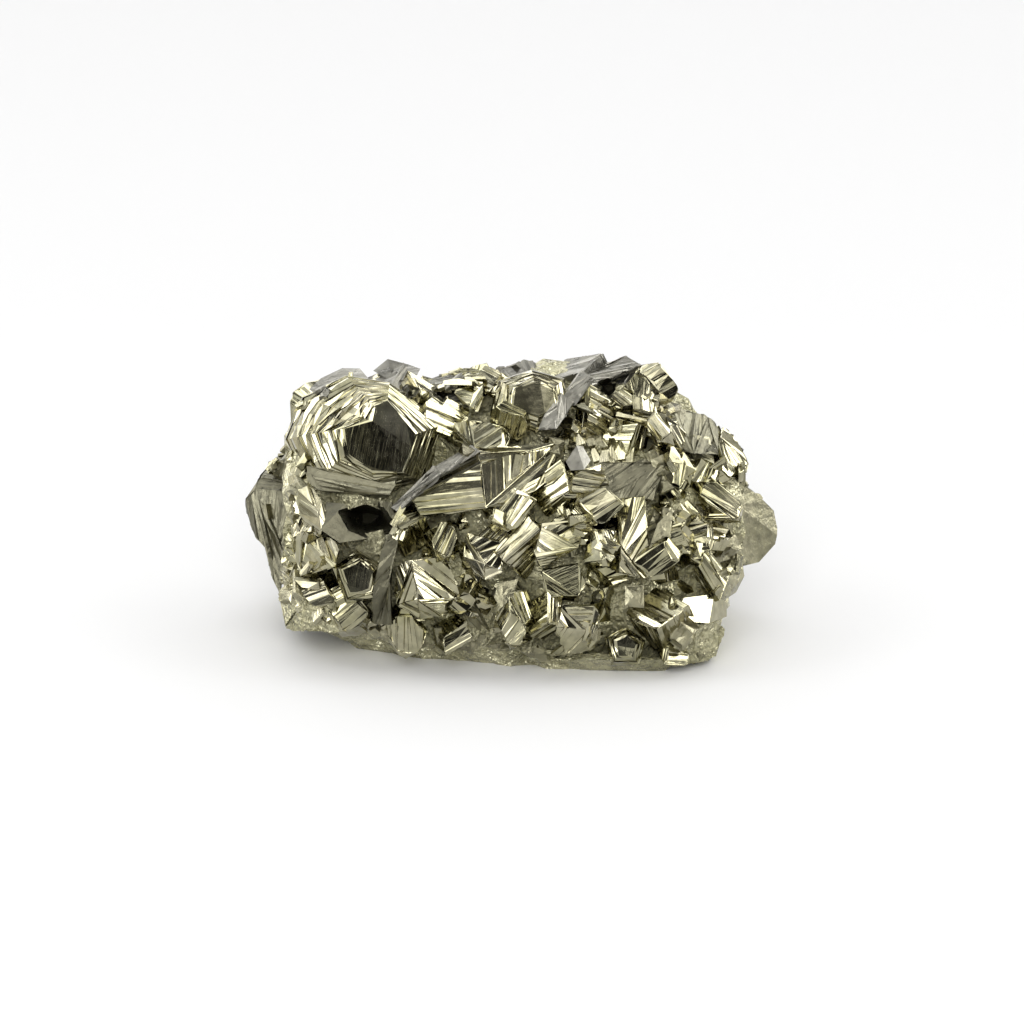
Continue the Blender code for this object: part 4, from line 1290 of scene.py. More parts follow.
def in_outline(across: float, up: float) -> bool:
    """Say whether a place lies inside the outline.

    Args:
        across: its place across the front, in mm.
        up: its place up the front, in mm.

    Returns:
        Whether it does.
    """
    inside = False
    for (x1, y1), (x2, y2) in zip(OUTLINE, OUTLINE[1:] + OUTLINE[:1]):
        if (y1 > up) != (y2 > up) and across < x1 + (up - y1) * (x2 - x1) / (y2 - y1):
            inside = not inside
    return inside


def fits(corners: list[Vector]) -> bool:
    """Say whether a piece's corners lie inside the CAD box and the outline.

    Args:
        corners: its corners, in mm.

    Returns:
        Whether they all do.
    """
    for corner in corners:
        if any(not CAD_BOX[0][i] / MM + 0.05 < corner[i] < CAD_BOX[1][i] / MM - 0.05
               for i in (0, 1)):
            return False
        if corner.z > CAD_BOX[1][2] / MM - 0.05 or not in_outline(*spot_on_front(corner)):
            return False
    return True


def spot_on_front(spot: Vector) -> tuple[float, float]:
    """Return where a place in world millimetres is seen on the front: (across, up)."""
    up = spot.y * math.sin(FRONT.lean) + (spot.z - FRONT.centre_height) * math.cos(FRONT.lean)
    return spot.x, up


def is_quiet(spot: Vector, margin: float) -> bool:
    """Say whether a crystal of a half width would reach a great face that stays clear."""
    return spot.y < 3.0 and any(zone.holds(*spot_on_front(spot), margin) for zone in QUIET_ZONES)


def copy_of(piece: bpy.types.Object, name: str, placing: Matrix, shift: float, finish: Finish,
            materials: list[bpy.types.Material]) -> bpy.types.Object:
    """Return a copy of a small piece with a mesh of its own.

    Args:
        piece: what is copied.
        name: the copy's name.
        placing: where the copy goes.
        shift: how far its pattern is shifted, in mm.
        finish: the finish it wears.
        materials: the finishes, in the order of their slots.

    Returns:
        The copy, in no collection yet.
    """
    mesh = piece.data.copy()
    mesh.transform(placing)
    for loop in mesh.uv_layers.active.data:
        loop.uv = loop.uv + Vector((shift, shift))
    for polygon in mesh.polygons:
        polygon.material_index = finish.value
    for material in materials:
        mesh.materials.append(material)
    return bpy.data.objects.new(name, mesh)


@dataclass
class Shards:
    """Bundles of long thin crystals that lie in the rock's skin.

    Attributes:
        name: what its pieces are called.
        count: how many bundles are tried.
        shortest: half length of the shortest shard, in mm.
        longest: half length of the longest, in mm.
        thinnest: half width of the thinnest, in mm.
        thickest: half width of the thickest, in mm.
        on_crystals: how readily they grow on the front's great crystals.
        seed: what makes their places their own.
        library: the few shards that the bundles repeat.
    """

    name: str = "shard"
    count: int = 360
    shortest: float = 0.9
    longest: float = 2.6
    thinnest: float = 0.3
    thickest: float = 0.62
    on_crystals: float = 0.12
    seed: int = 17
    library: list[bpy.types.Object] = field(default_factory=list)

    def make_library(self) -> None:
        """Make four shards, each a ridged bar with slanted ends, at a half length of 1 mm."""
        for number, (ridge, slant) in enumerate(((0.1, 0.7), (-0.3, 1.1), (0.35, 0.5), (0.0, 1.6))):
            bpy.ops.mesh.primitive_cube_add(size=2.0)
            shard = bpy.context.object
            shard.name = f"shard_{number}"
            edit(shard)
            for side, tilt in ((1, 0.9), (-1, 1.3)):
                facing = Vector((0.05 * side, side, tilt)).normalized()
                cut_away(Vector((0, ridge, 1.0)), facing)
                cut_away(Vector((side * (0.95 - 0.1 * number), 0, 0)),
                         Vector((side, 0.3 * ridge, slant)).normalized())
            bpy.ops.mesh.quads_convert_to_tris(quad_method="BEAUTY", ngon_method="BEAUTY")
            close_edit()
            dress_along(shard, Vector((1, 0, 0)))
            self.library.append(shard)

    def grow(self, rock: bpy.types.Object, materials: list[bpy.types.Material],
             kept: bpy.types.Collection) -> int:
        """Lay bundles of shards in the rock's skin and return how many shards there are.

        Args:
            rock: the rock, in mm.
            materials: the finishes, in the order of their slots.
            kept: the collection that takes the shards.

        Returns:
            How many shards were laid.
        """
        self.make_library()
        chance = random.Random(self.seed)
        number = 0
        for spot, normal in landing_spots(rock, chance, self.count, self.on_crystals):
            outward = Vector((0, spot.y / 11.0, (spot.z - 14.0) / 14.0))
            facing = (normal * 0.5 + outward).normalized()
            turned = turned_to(facing, chance.uniform(0, 360))
            width = chance.uniform(self.thinnest, self.thickest)
            reach = self.shortest + (self.longest - self.shortest) * chance.random() ** 1.5
            finish = finish_at(*spot_on_front(spot), chance)
            for step in range(chance.randint(3, 6)):
                half = reach * chance.uniform(0.55, 1.0)
                roll = Quaternion((1, 0, 0), chance.gauss(0, 0.4))
                yaw = Quaternion((0, 0, 1), chance.gauss(0, 0.08))
                place = Vector((chance.uniform(-0.4, 0.4) * reach, (step - 2) * width * 1.5,
                                chance.uniform(-0.25, 0.12)))
                placing = (Matrix.Translation(spot + turned @ place)
                           @ (turned @ yaw @ roll).to_matrix().to_4x4()
                           @ Matrix.Diagonal((half, width, width, 1.0)))
                pick = self.library[chance.randrange(len(self.library))]
                shift = chance.uniform(0, 40)
                corners = [placing @ Vector(corner) for corner in pick.bound_box]
                if is_quiet(placing.translation, 0.3 * half) or not fits(corners):
                    continue
                kept.objects.link(copy_of(pick, f"shard_{number}", placing, shift, finish,
                                          materials))
                number += 1
        for shard in self.library:
            bpy.data.objects.remove(shard)
        return number


@dataclass
class Druse:
    """Crystals of one size range strewn over the rock between its great faces.

    Attributes:
        name: what its crystals are called.
        count: how many are tried.
        smallest: half width of the smallest, in mm.
        largest: half width of the largest, in mm.
        steps: their growth steps at a half width of 1 mm.
        least_rise: least share of their half width that stands out of the rock.
        most_rise: greatest share of it.
        stray: how far they lean from the face they grow on.
        on_crystals: how readily they grow on the front's great crystals.
        seed: what makes their places their own.
        waves: how their corners stray at a half width of 1 mm.
        library: the few crystals that it repeats.
    """

    name: str
    count: int
    smallest: float
    largest: float
    steps: Striations
    least_rise: float
    most_rise: float
    stray: float
    on_crystals: float
    seed: int
    waves: Waves = Waves(((1.6, 0.8), (0.7, 0.25)))
    library: list[bpy.types.Object] = field(default_factory=list)

    def make_library(self) -> None:
        """Make the few crystals that the druse repeats, at a half width of 1 mm."""
        habits = (Habit.CUBE, Habit.PYRITOHEDRON, Habit.BLUNT_CUBE, Habit.BEVELLED_CUBE)
        for number in range(8):
            crystal = HabitCrystal(
                f"{self.name}_{number}", habits[number % 4], Vector(), 1.0, Quaternion(),
                Finish.BRIGHT, self.steps, skew=0.35,
            )
            made = crystal.build(DRUSE_SEED + number)
            self.waves.bend(made)
            self.library.append(made)

    def grow(self, rock: bpy.types.Object, materials: list[bpy.types.Material],
             kept: bpy.types.Collection) -> int:
        """Set small crystals on the rock's skin.

        Args:
            rock: the rock, in mm.
            materials: the finishes, in the order of their slots.
            kept: the collection that takes the crystals.

        Returns:
            How many crystals were set.
        """
        self.make_library()
        chance = random.Random(self.seed)
        number = 0
        for ground, normal in landing_spots(rock, chance, self.count, self.on_crystals):
            half = self.smallest + (self.largest - self.smallest) * chance.random() ** 2.2
            stray = Vector([chance.gauss(0, self.stray) for _ in range(3)])
            facing = (normal + stray).normalized()
            stretch = Vector((chance.uniform(0.45, 1.0), chance.uniform(0.8, 1.7), 1.0))
            turned = turned_to(facing, chance.uniform(0, 180))
            rise = half * chance.uniform(self.least_rise, self.most_rise)
            spot = ground - facing * (half - rise)
            pick = self.library[chance.randrange(len(self.library))]
            shift = chance.uniform(0, 40)
            placing = (Matrix.Translation(spot) @ turned.to_matrix().to_4x4()
                       @ Matrix.Diagonal((*(stretch * half), 1.0)))
            corners = [placing @ Vector(corner) for corner in pick.bound_box]
            finish = finish_at(*spot_on_front(spot), chance)
            if is_quiet(ground, 0.8 * half) or ground.z < 0.5 or not fits(corners):
                continue
            kept.objects.link(copy_of(pick, f"{self.name}_copy_{number}", placing, shift, finish,
                                      materials))
            number += 1
        for crystal in self.library:
            bpy.data.objects.remove(crystal)
        return number


BACK_READINESS = 0.35           # how readily the back takes small crystals
SIDE_READINESS = 0.5            # how readily great crystals of the sides do
FAR = 90.0                      # mm: how far off small crystals set out


def readiness(finish: int, facing: Vector, least: float) -> float:
    """Say how readily a face takes small crystals: great crystals of the front hardly do.

    Args:
        finish: the slot of its finish.
        facing: its outward direction.
        least: how readily the front's great crystals take them.

    Returns:
        How often it takes one, from 0 to 1.
    """
    if facing.y > 0.2:
        return BACK_READINESS
    if finish == Finish.MATRIX.value:
        return 1.0
    return least if facing.dot(FRONT.direction(0, 0, 1)) > 0.0 else SIDE_READINESS


def landing_spots(rock: bpy.types.Object, chance: random.Random, count: int,
                  least: float) -> list[tuple[Vector, Vector]]:
    """Find where small pieces land on the rock when they come from all round.

    Args:
        rock: the rock, in mm.
        chance: the source of their ways.
        count: how many spots are wanted.
        least: how readily the front's great crystals take them.

    Returns:
        The spots, each with its face's outward direction.
    """
    skin = rock.data
    tree = BVHTree.FromPolygons([corner.co for corner in skin.vertices],
                                [face.vertices for face in skin.polygons])
    found: list[tuple[Vector, Vector]] = []
    for _ in range(count * 40):
        if len(found) == count:
            break
        aim = Vector((chance.uniform(-27, 27), chance.uniform(-9, 9), chance.uniform(2, 28)))
        away = Vector([chance.gauss(0, 1) for _ in range(3)]).normalized()
        pick = chance.random()
        spot, facing, index, _ = tree.ray_cast(aim + away * FAR, -away)
        if spot is None or facing.dot(away) < 0.0:
            continue
        if pick < readiness(skin.polygons[index].material_index, facing, least):
            found.append((spot, facing))
    return found


# What grows on the rock between its great crystals, in turn.
FILLING = (
    Druse("filler", 330, 1.2, 2.3, Striations(0.62, 0.1), 0.35, 0.85, 0.8, 0.0, 5),
    Shards(),
    Druse("small", 760, 0.55, 1.3, Striations(1.7, 0.16), 0.15, 0.5, 0.5, 0.06, 7),
)


BRIGHT_UP = (-12.6, 15.4)       # mm: below and above this most small crystals are dull
BRIGHT_ACROSS = (-24.8, 22.5)   # mm: left and right of this many are
GREY_OVER = 12.0                # mm up: from here the dull ones are grey


def finish_at(across: float, up: float, chance: random.Random) -> Finish:
    """Choose the finish of a small crystal by where it is seen on the front.

    Args:
        across: its place across the front, in mm.
        up: its place up the front, in mm.
        chance: the source of the choice.

    Returns:
        The finish it wears.
    """
    dull = 0.12
    if not BRIGHT_UP[0] <= up <= BRIGHT_UP[1]:
        dull = 0.75
    elif not BRIGHT_ACROSS[0] <= across <= BRIGHT_ACROSS[1]:
        dull = 0.6
    if chance.random() > dull:
        return Finish.BRIGHT
    return Finish.OLIVE if up < GREY_OVER else Finish.GREY


# --- the mass ------------------------------------------------------------------------------------


@dataclass
class CrystalMass:
    """The whole specimen: core, great crystals, small crystals and pits, joined to one rock.

    Attributes:
        name: its object's name.
        finishes: its materials, in the order of their slots.
        waves: how its crystals' corners stray.
        seed: what makes the turns of the crystals round the rest their own.
        foot: the height that the underside is cut at before the rock is settled, in mm.
    """

    name: str
    finishes: list[bpy.types.Material]
    waves: Waves = Waves(((4.5, 1.6), (1.3, 0.35)))
    foot: float = 0.75
    seed: int = 41

    def build(self) -> bpy.types.Object:
        """Grow the mass and return it at its real size."""
        rock = Core().build()
        self.give_slots(rock)
        self.waves.bend(rock)
        crystals = self.great_crystals() + self.front_crystals() + self.round_crystals()
        growth = new_collection("growth")
        for crystal in crystals:
            self.give_slots(crystal)
            if not crystal.name.startswith(STRAIGHT):
                self.waves.bend(crystal)
            move_to(crystal, growth)
        self.combine(rock, growth, "UNION")
        self.settle(rock)
        log.info("great crystals: %d, triangles %d", len(crystals), triangles(rock))
        hollows = new_collection("hollows")
        for number, pit in enumerate(PITS):
            cutter = self.pit_cutter(f"pit_{number}", *pit)
            self.give_slots(cutter)
            move_to(cutter, hollows)
        self.combine(rock, hollows, "DIFFERENCE")
        for growth in FILLING:
            small = new_collection("small")
            count = growth.grow(rock, self.finishes, small)
            self.combine(rock, small, "UNION")
            log.info("%s: %d, triangles %d", growth.name, count, triangles(rock))
        underside = new_collection("underside")
        block = self.underside_cutter()
        self.give_slots(block)
        move_to(block, underside)
        self.combine(rock, underside, "DIFFERENCE")
        self.keep_greatest_shell(rock)
        rock.name = self.name
        rock.data.name = self.name
        rock.scale = (MM, MM, MM)
        choose(rock)
        bpy.ops.object.transform_apply(location=False, rotation=False, scale=True)
        return rock

    def settle(self, rock: bpy.types.Object) -> None:
        """Bring the rock back to the CAD's box.

        Args:
            rock: the rock, in mm.
        """
        corners = rock.data.vertices
        for i, (least, most) in enumerate(zip(*CAD_BOX)):
            low = self.foot if i == 2 else min(corner.co[i] for corner in corners)
            fit = (most - least) / MM / (max(corner.co[i] for corner in corners) - low)
            for corner in corners:
                corner.co[i] = least / MM + (corner.co[i] - low) * fit

    def give_slots(self, piece: bpy.types.Object) -> None:
        """Give a piece the mass's material slots, all in the same order."""
        for material in self.finishes:
            piece.data.materials.append(material)

    def great_crystals(self) -> list[bpy.types.Object]:
        """Build the crystals whose corners are given one by one."""
        return [crystal.build(number + 1)
                for number, crystal in enumerate(GREAT_CRYSTALS + TERRACED_CRYSTALS)]

    def front_crystals(self) -> list[bpy.types.Object]:
        """Build the middling crystals of the front."""
        made = []
        for number, (habit, centre, half, facing, turn) in enumerate(FRONT_CRYSTALS):
            turned = turned_to(FRONT.direction(*facing).normalized(), turn)
            crystal = HabitCrystal(
                f"front_crystal_{number}", habit, FRONT.place(*centre), half, turned, skew=0.32,
            )
            made.append(crystal.build(FRONT_SEED + number))
        return made

    def round_crystals(self) -> list[bpy.types.Object]:
        """Build the crystals round the rest of the core."""
        core = Core()
        chance = random.Random(self.seed)
        made = []
        for number, (across, share, half, rise, habit) in enumerate(ROUND_CRYSTALS):
            facing = core.facing(across, share)
            centre = core.place(across, share) - facing * (half - rise)
            tipped = Quaternion((1, 0, 0), chance.uniform(-0.5, 0.5))
            turned = turned_to(facing, chance.uniform(0, 90)) @ tipped
            finish = Finish.GREY if share < 0.53 else Finish.BRIGHT
            crystal = HabitCrystal(
                f"round_crystal_{number}", habit, centre, half, turned, finish, skew=0.15,
            )
            made.append(crystal.build(ROUND_SEED + number))
        return made

    def pit_cutter(self, name: str, middle: tuple[float, float], half_width: float,
                   half_height: float, mouth_out: float, floor_out: float) -> bpy.types.Object:
        """Build a pit's cutter, a cone of six sides that narrows towards its floor.

        Args:
            name: its object's name.
            middle: the pit's middle, as (across, up).
            half_width: the pit's half width, in mm.
            half_height: its half height.
            mouth_out: how far out its mouth lies.
            floor_out: how far out its floor lies.

        Returns:
            The cutter, in mm.
        """
        depth = mouth_out + 4.0 - floor_out
        bpy.ops.mesh.primitive_cone_add(
            vertices=6, radius1=0.45, radius2=1.5, depth=depth,
            location=(0, 0, floor_out + depth / 2),
        )
        cutter = bpy.context.object
        cutter.name = name
        chance = random.Random(name)
        for corner in cutter.data.vertices:
            corner.co.x *= chance.uniform(0.55, 1.35)
            corner.co.y *= chance.uniform(0.55, 1.35)
        turned = Matrix((FRONT.direction(1, 0, 0), FRONT.direction(0, 1, 0),
                         FRONT.direction(0, 0, 1))).transposed().to_4x4()
        size = Matrix.Diagonal((half_width, half_height, 1.0, 1.0))
        base = FRONT.place(middle[0], middle[1], 0.0)
        cutter.matrix_world = Matrix.Translation(base) @ turned @ size @ cutter.matrix_world
        choose(cutter)
        bpy.ops.object.transform_apply(location=True, rotation=True, scale=True)
        # The cut walls take the shaded finish: painted shade in the hollow.
        dress_rock(cutter, Finish.SHADED)
        return cutter

    def underside_cutter(self) -> bpy.types.Object:
        """Build the block that cuts the underside flat."""
        bpy.ops.mesh.primitive_cube_add(size=20.0, location=(0, 0, -10.0), scale=(5.0, 4.0, 1.0))
        block = bpy.context.object
        block.name = "underside_cutter"
        bpy.ops.object.transform_apply(location=True, rotation=False, scale=True)
        dress_rock(block, Finish.OLIVE)
        return block

    def combine(self, rock: bpy.types.Object, tools: bpy.types.Collection, operation: str) -> None:
        """Join the rock with a collection's pieces or cut it with them, and remove them.

        Args:
            rock: the rock, in mm.
            tools: the collection, which is emptied and removed.
            operation: UNION or DIFFERENCE.
        """
        change = rock.modifiers.new(operation.lower(), "BOOLEAN")
        change.operation = operation
        change.solver = "MANIFOLD"
        change.operand_type = "COLLECTION"
        change.collection = tools
        choose(rock)
        bpy.ops.object.modifier_apply(modifier=change.name)
        for tool in list(tools.objects):
            bpy.data.objects.remove(tool)
        bpy.data.collections.remove(tools)

    def keep_greatest_shell(self, rock: bpy.types.Object) -> None:
        """Delete every shell but the greatest, so that no hollow is sealed in.

        Args:
            rock: the rock, in mm.
        """
        edit(rock)
        shape = opened_mesh(rock)
        unseen = set(shape.faces)
        greatest: list[bmesh.types.BMFace] = []
        while unseen:
            shell = [unseen.pop()]
            for face in shell:
                for edge in face.edges:
                    for other in edge.link_faces:
                        if other in unseen:
                            unseen.remove(other)
                            shell.append(other)
            if len(shell) > len(greatest):
                greatest = shell
        kept = set(greatest)
        if select_faces(rock, lambda face: face not in kept):
            bpy.ops.mesh.delete(type="FACE")
        close_edit()


def triangles(piece: bpy.types.Object) -> int:
    """Count a piece's triangles."""
    return sum(len(face.vertices) - 2 for face in piece.data.polygons)


def new_collection(name: str) -> bpy.types.Collection:
    """Make a collection of the scene."""
    made = bpy.data.collections.new(name)
    bpy.context.scene.collection.children.link(made)
    return made


def move_to(piece: bpy.types.Object, kept: bpy.types.Collection) -> None:
    """Move a piece into one collection."""
    for holder in list(piece.users_collection):
        holder.objects.unlink(piece)
    kept.objects.link(piece)


# --- finishes ------------------------------------------------------------------------------------


class NodeSheet:
    """A node tree with short ways to add and join nodes.

    Attributes:
        tree: the node tree.
        shader: the node that takes what the sheet works out.
        place: the texture coordinates.
    """

    def __init__(self, tree: bpy.types.NodeTree, shader: str = "Principled BSDF") -> None:
        """Open a node tree at one of its nodes."""
        self.tree = tree
        self.shader = tree.nodes[shader]
        self.place = tree.nodes.new("ShaderNodeTexCoord")

    def add(self, kind: str, inputs: dict | None = None, **settings: object) -> bpy.types.Node:
        """Add a node.

        Args:
            kind: the node's type.
            inputs: what its inputs hold, or the sockets that they are linked from.
            settings: the node's own settings.

        Returns:
            The new node.
        """
        node = self.tree.nodes.new(kind)
        for name, value in settings.items():
            setattr(node, name, value)
        for name, value in (inputs or {}).items():
            if isinstance(value, bpy.types.NodeSocket):
                self.tree.links.new(value, node.inputs[name])
            else:
                node.inputs[name].default_value = value
        return node

    def noise(self, where: bpy.types.NodeSocket, scale: float, detail: float,
              stretch: Corner | None = None) -> bpy.types.NodeSocket:
        """Add a noise of a scale, stretched along the axes if asked, and return its value.

        Args:
            where: the coordinates.
            scale: how small the noise is.
            detail: how many finer layers it has.
            stretch: how much it is squeezed along each axis.

        Returns:
            Its value.
        """
        if stretch:
            where = self.add("ShaderNodeMapping", {"Vector": where, "Scale": stretch}).outputs[0]
        made = self.add("ShaderNodeTexNoise", {"Vector": where, "Scale": scale, "Detail": detail})
        return made.outputs["Fac"]

    def ranged(self, value: bpy.types.NodeSocket, low: float, high: float,
               least: float = 0.3, most: float = 0.7) -> bpy.types.NodeSocket:
        """Bring a value's range (least, most) to (low, high).

        Args:
            value: what is brought.
            low: what the least value becomes.
            high: what the greatest becomes.
            least: the least value.
            most: the greatest.

        Returns:
            The new value.
        """
        made = self.add("ShaderNodeMapRange", {
            "Value": value, "From Min": least, "From Max": most, "To Min": low, "To Max": high,
        }, clamp=True)
        return made.outputs["Result"]

    def blend(self, share: bpy.types.NodeSocket, first: bpy.types.NodeSocket | Corner,
              second: bpy.types.NodeSocket | Corner) -> bpy.types.NodeSocket:
        """Mix two colours, or a socket with a colour, by a share.

        Args:
            share: the second colour's share.
            first: the first colour or its socket.
            second: the second colour or its socket.

        Returns:
            The mixed colour.
        """
        made = self.add("ShaderNodeMix", data_type="RGBA")
        self.tree.links.new(share, made.inputs[0])
        for socket, value in ((made.inputs[6], first), (made.inputs[7], second)):
            if isinstance(value, bpy.types.NodeSocket):
                self.tree.links.new(value, socket)
            else:
                socket.default_value = (*value, 1.0)
        return made.outputs[2]

    def bump(self, height: bpy.types.NodeSocket, distance: float,
             over: bpy.types.NodeSocket | None = None) -> bpy.types.NodeSocket:
        """Add a bump of a real height in metres, over another one if given.

        Args:
            height: the bump's pattern.
            distance: its height, in metres.
            over: the normal of the bump beneath.

        Returns:
            The bumped normal.
        """
        made = self.add("ShaderNodeBump", {
            "Height": height, "Distance": distance, "Strength": 1.0,
        })
        if over:
            self.tree.links.new(over, made.inputs["Normal"])
        return made.outputs["Normal"]


@dataclass(frozen=True)
class PyriteFinish:
    """Metal of the specimen: fresh, weathered, and a darker copy that paints shade.

    Attributes:
        name: the material's name.
        bright: colour of the fresh metal, linear.
        tarnish: colour of its duller patches.
        metallic: how metallic it is.
        smooth: least roughness.
        rough: greatest roughness.
        streak: height of the fine growth lines, in metres.
        mottle: height of the pitting, in metres.
        grain: height of the crust of tiny crystals, in metres.
    """

    name: str
    bright: Corner
    tarnish: Corner
    metallic: float
    smooth: float
    rough: float
    streak: float
    mottle: float
    grain: float = 0.0

    def make(self) -> bpy.types.Material:
        """Build the material."""
        material = bpy.data.materials.new(self.name)
        material.use_nodes = True
        sheet = NodeSheet(material.node_tree)
        places = sheet.place.outputs["Object"]
        pattern = sheet.place.outputs["UV"]
        patches = sheet.noise(places, 170.0, 4.0)
        specks = sheet.noise(places, 900.0, 3.0)
        colour = sheet.blend(sheet.ranged(patches, 0.0, 1.0, 0.35, 0.65), self.bright, self.tarnish)
        shade = sheet.ranged(specks, 0.72, 1.12)
        darker = sheet.add("ShaderNodeVectorMath", {0: colour}, operation="SCALE")
        sheet.tree.links.new(shade, darker.inputs["Scale"])
        sheet.tree.links.new(darker.outputs[0], sheet.shader.inputs["Base Color"])
        sheet.shader.inputs["Metallic"].default_value = self.metallic
        rough = sheet.ranged(specks, self.smooth, self.rough, 0.32, 0.68)
        sheet.tree.links.new(rough, sheet.shader.inputs["Roughness"])
        wide = sheet.noise(pattern, 1.0, 2.0, stretch=(0.22, 2.6, 1.0))
        fine = sheet.noise(pattern, 1.0, 2.0, stretch=(0.5, 8.0, 1.0))
        normal = sheet.bump(wide, self.streak)
        normal = sheet.bump(fine, self.streak * 0.35, over=normal)
        normal = sheet.bump(sheet.noise(places, 1400.0, 4.0), self.mottle, over=normal)
        if self.grain:
            wavy = sheet.add("ShaderNodeVectorRotate", {"Vector": places, "Angle": 0.9},
                             rotation_type="X_AXIS")
            for scale, share in ((900.0, 1.0), (2300.0, 0.4)):
                crust = sheet.add("ShaderNodeTexVoronoi", {
                    "Vector": wavy.outputs[0], "Scale": scale, "Randomness": 1.0,
                }, distance="CHEBYCHEV")
                normal = sheet.bump(crust.outputs["Distance"], self.grain * share, over=normal)
        sheet.tree.links.new(normal, sheet.shader.inputs["Normal"])
        return material


BRIGHT_PYRITE = PyriteFinish(
    "bright_pyrite", bright=(0.41, 0.386, 0.275), tarnish=(0.32, 0.305, 0.185), metallic=1.0,
    smooth=0.05, rough=0.16, streak=0.000035, mottle=0.000012,
)
OLIVE_PYRITE = PyriteFinish(
    "olive_pyrite", bright=(0.34, 0.32, 0.215), tarnish=(0.20, 0.19, 0.12), metallic=0.85,
    smooth=0.24, rough=0.5, streak=0.00006, mottle=0.00009, grain=0.00012,
)
MATRIX = PyriteFinish(
    "matrix", bright=(0.50, 0.475, 0.31), tarnish=(0.32, 0.305, 0.18), metallic=0.5,
    smooth=0.15, rough=0.4, streak=0.00004, mottle=0.00006, grain=0.0006,
)
GREY_PYRITE = PyriteFinish(
    "grey_pyrite", bright=(0.25, 0.243, 0.21), tarnish=(0.16, 0.155, 0.13), metallic=0.85,
    smooth=0.24, rough=0.5, streak=0.00006, mottle=0.00012,
)
# Painted shade: the bright pyrite darkened, worn by the lobe, the seams, the pits' walls and other
# faces that are to look shaded.
SHADED_PYRITE = PyriteFinish(
    "shaded_pyrite", bright=(0.165, 0.157, 0.108), tarnish=(0.105, 0.10, 0.067), metallic=0.9,
    smooth=0.24, rough=0.5, streak=0.00006, mottle=0.00011,
)

# In the order of their slots.
FINISHES = (BRIGHT_PYRITE, OLIVE_PYRITE, GREY_PYRITE, MATRIX, SHADED_PYRITE)


# --- studio --------------------------------------------------------------------------------------


@dataclass(frozen=True)
class SoftBox:
    """A soft box.

    Attributes:
        name: its object's name.
        place: where its middle hangs, in metres.
        width: its width.
        height: its height.
        radiance: how bright its face is.
        mirrored: whether metal mirrors it.
    """

    name: str
    place: Corner
    width: float
    height: float
    radiance: float
    mirrored: bool = True

    def build(self) -> bpy.types.Object:
        """Hang the soft box, facing the specimen."""
        lamp = bpy.data.lights.new(self.name, "AREA")
        lamp.shape = "RECTANGLE"
        lamp.size = self.width
        lamp.size_y = self.height
        lamp.energy = self.radiance * math.pi * self.width * self.height
        hung = bpy.data.objects.new(self.name, lamp)
        hung.location = self.place
        away = Vector(self.place) - Vector((0, 0, 0.015))
        hung.rotation_euler = away.to_track_quat("Z", "Y").to_euler()
        hung.visible_camera = False
        hung.visible_glossy = self.mirrored
        bpy.context.scene.collection.objects.link(hung)
        return hung


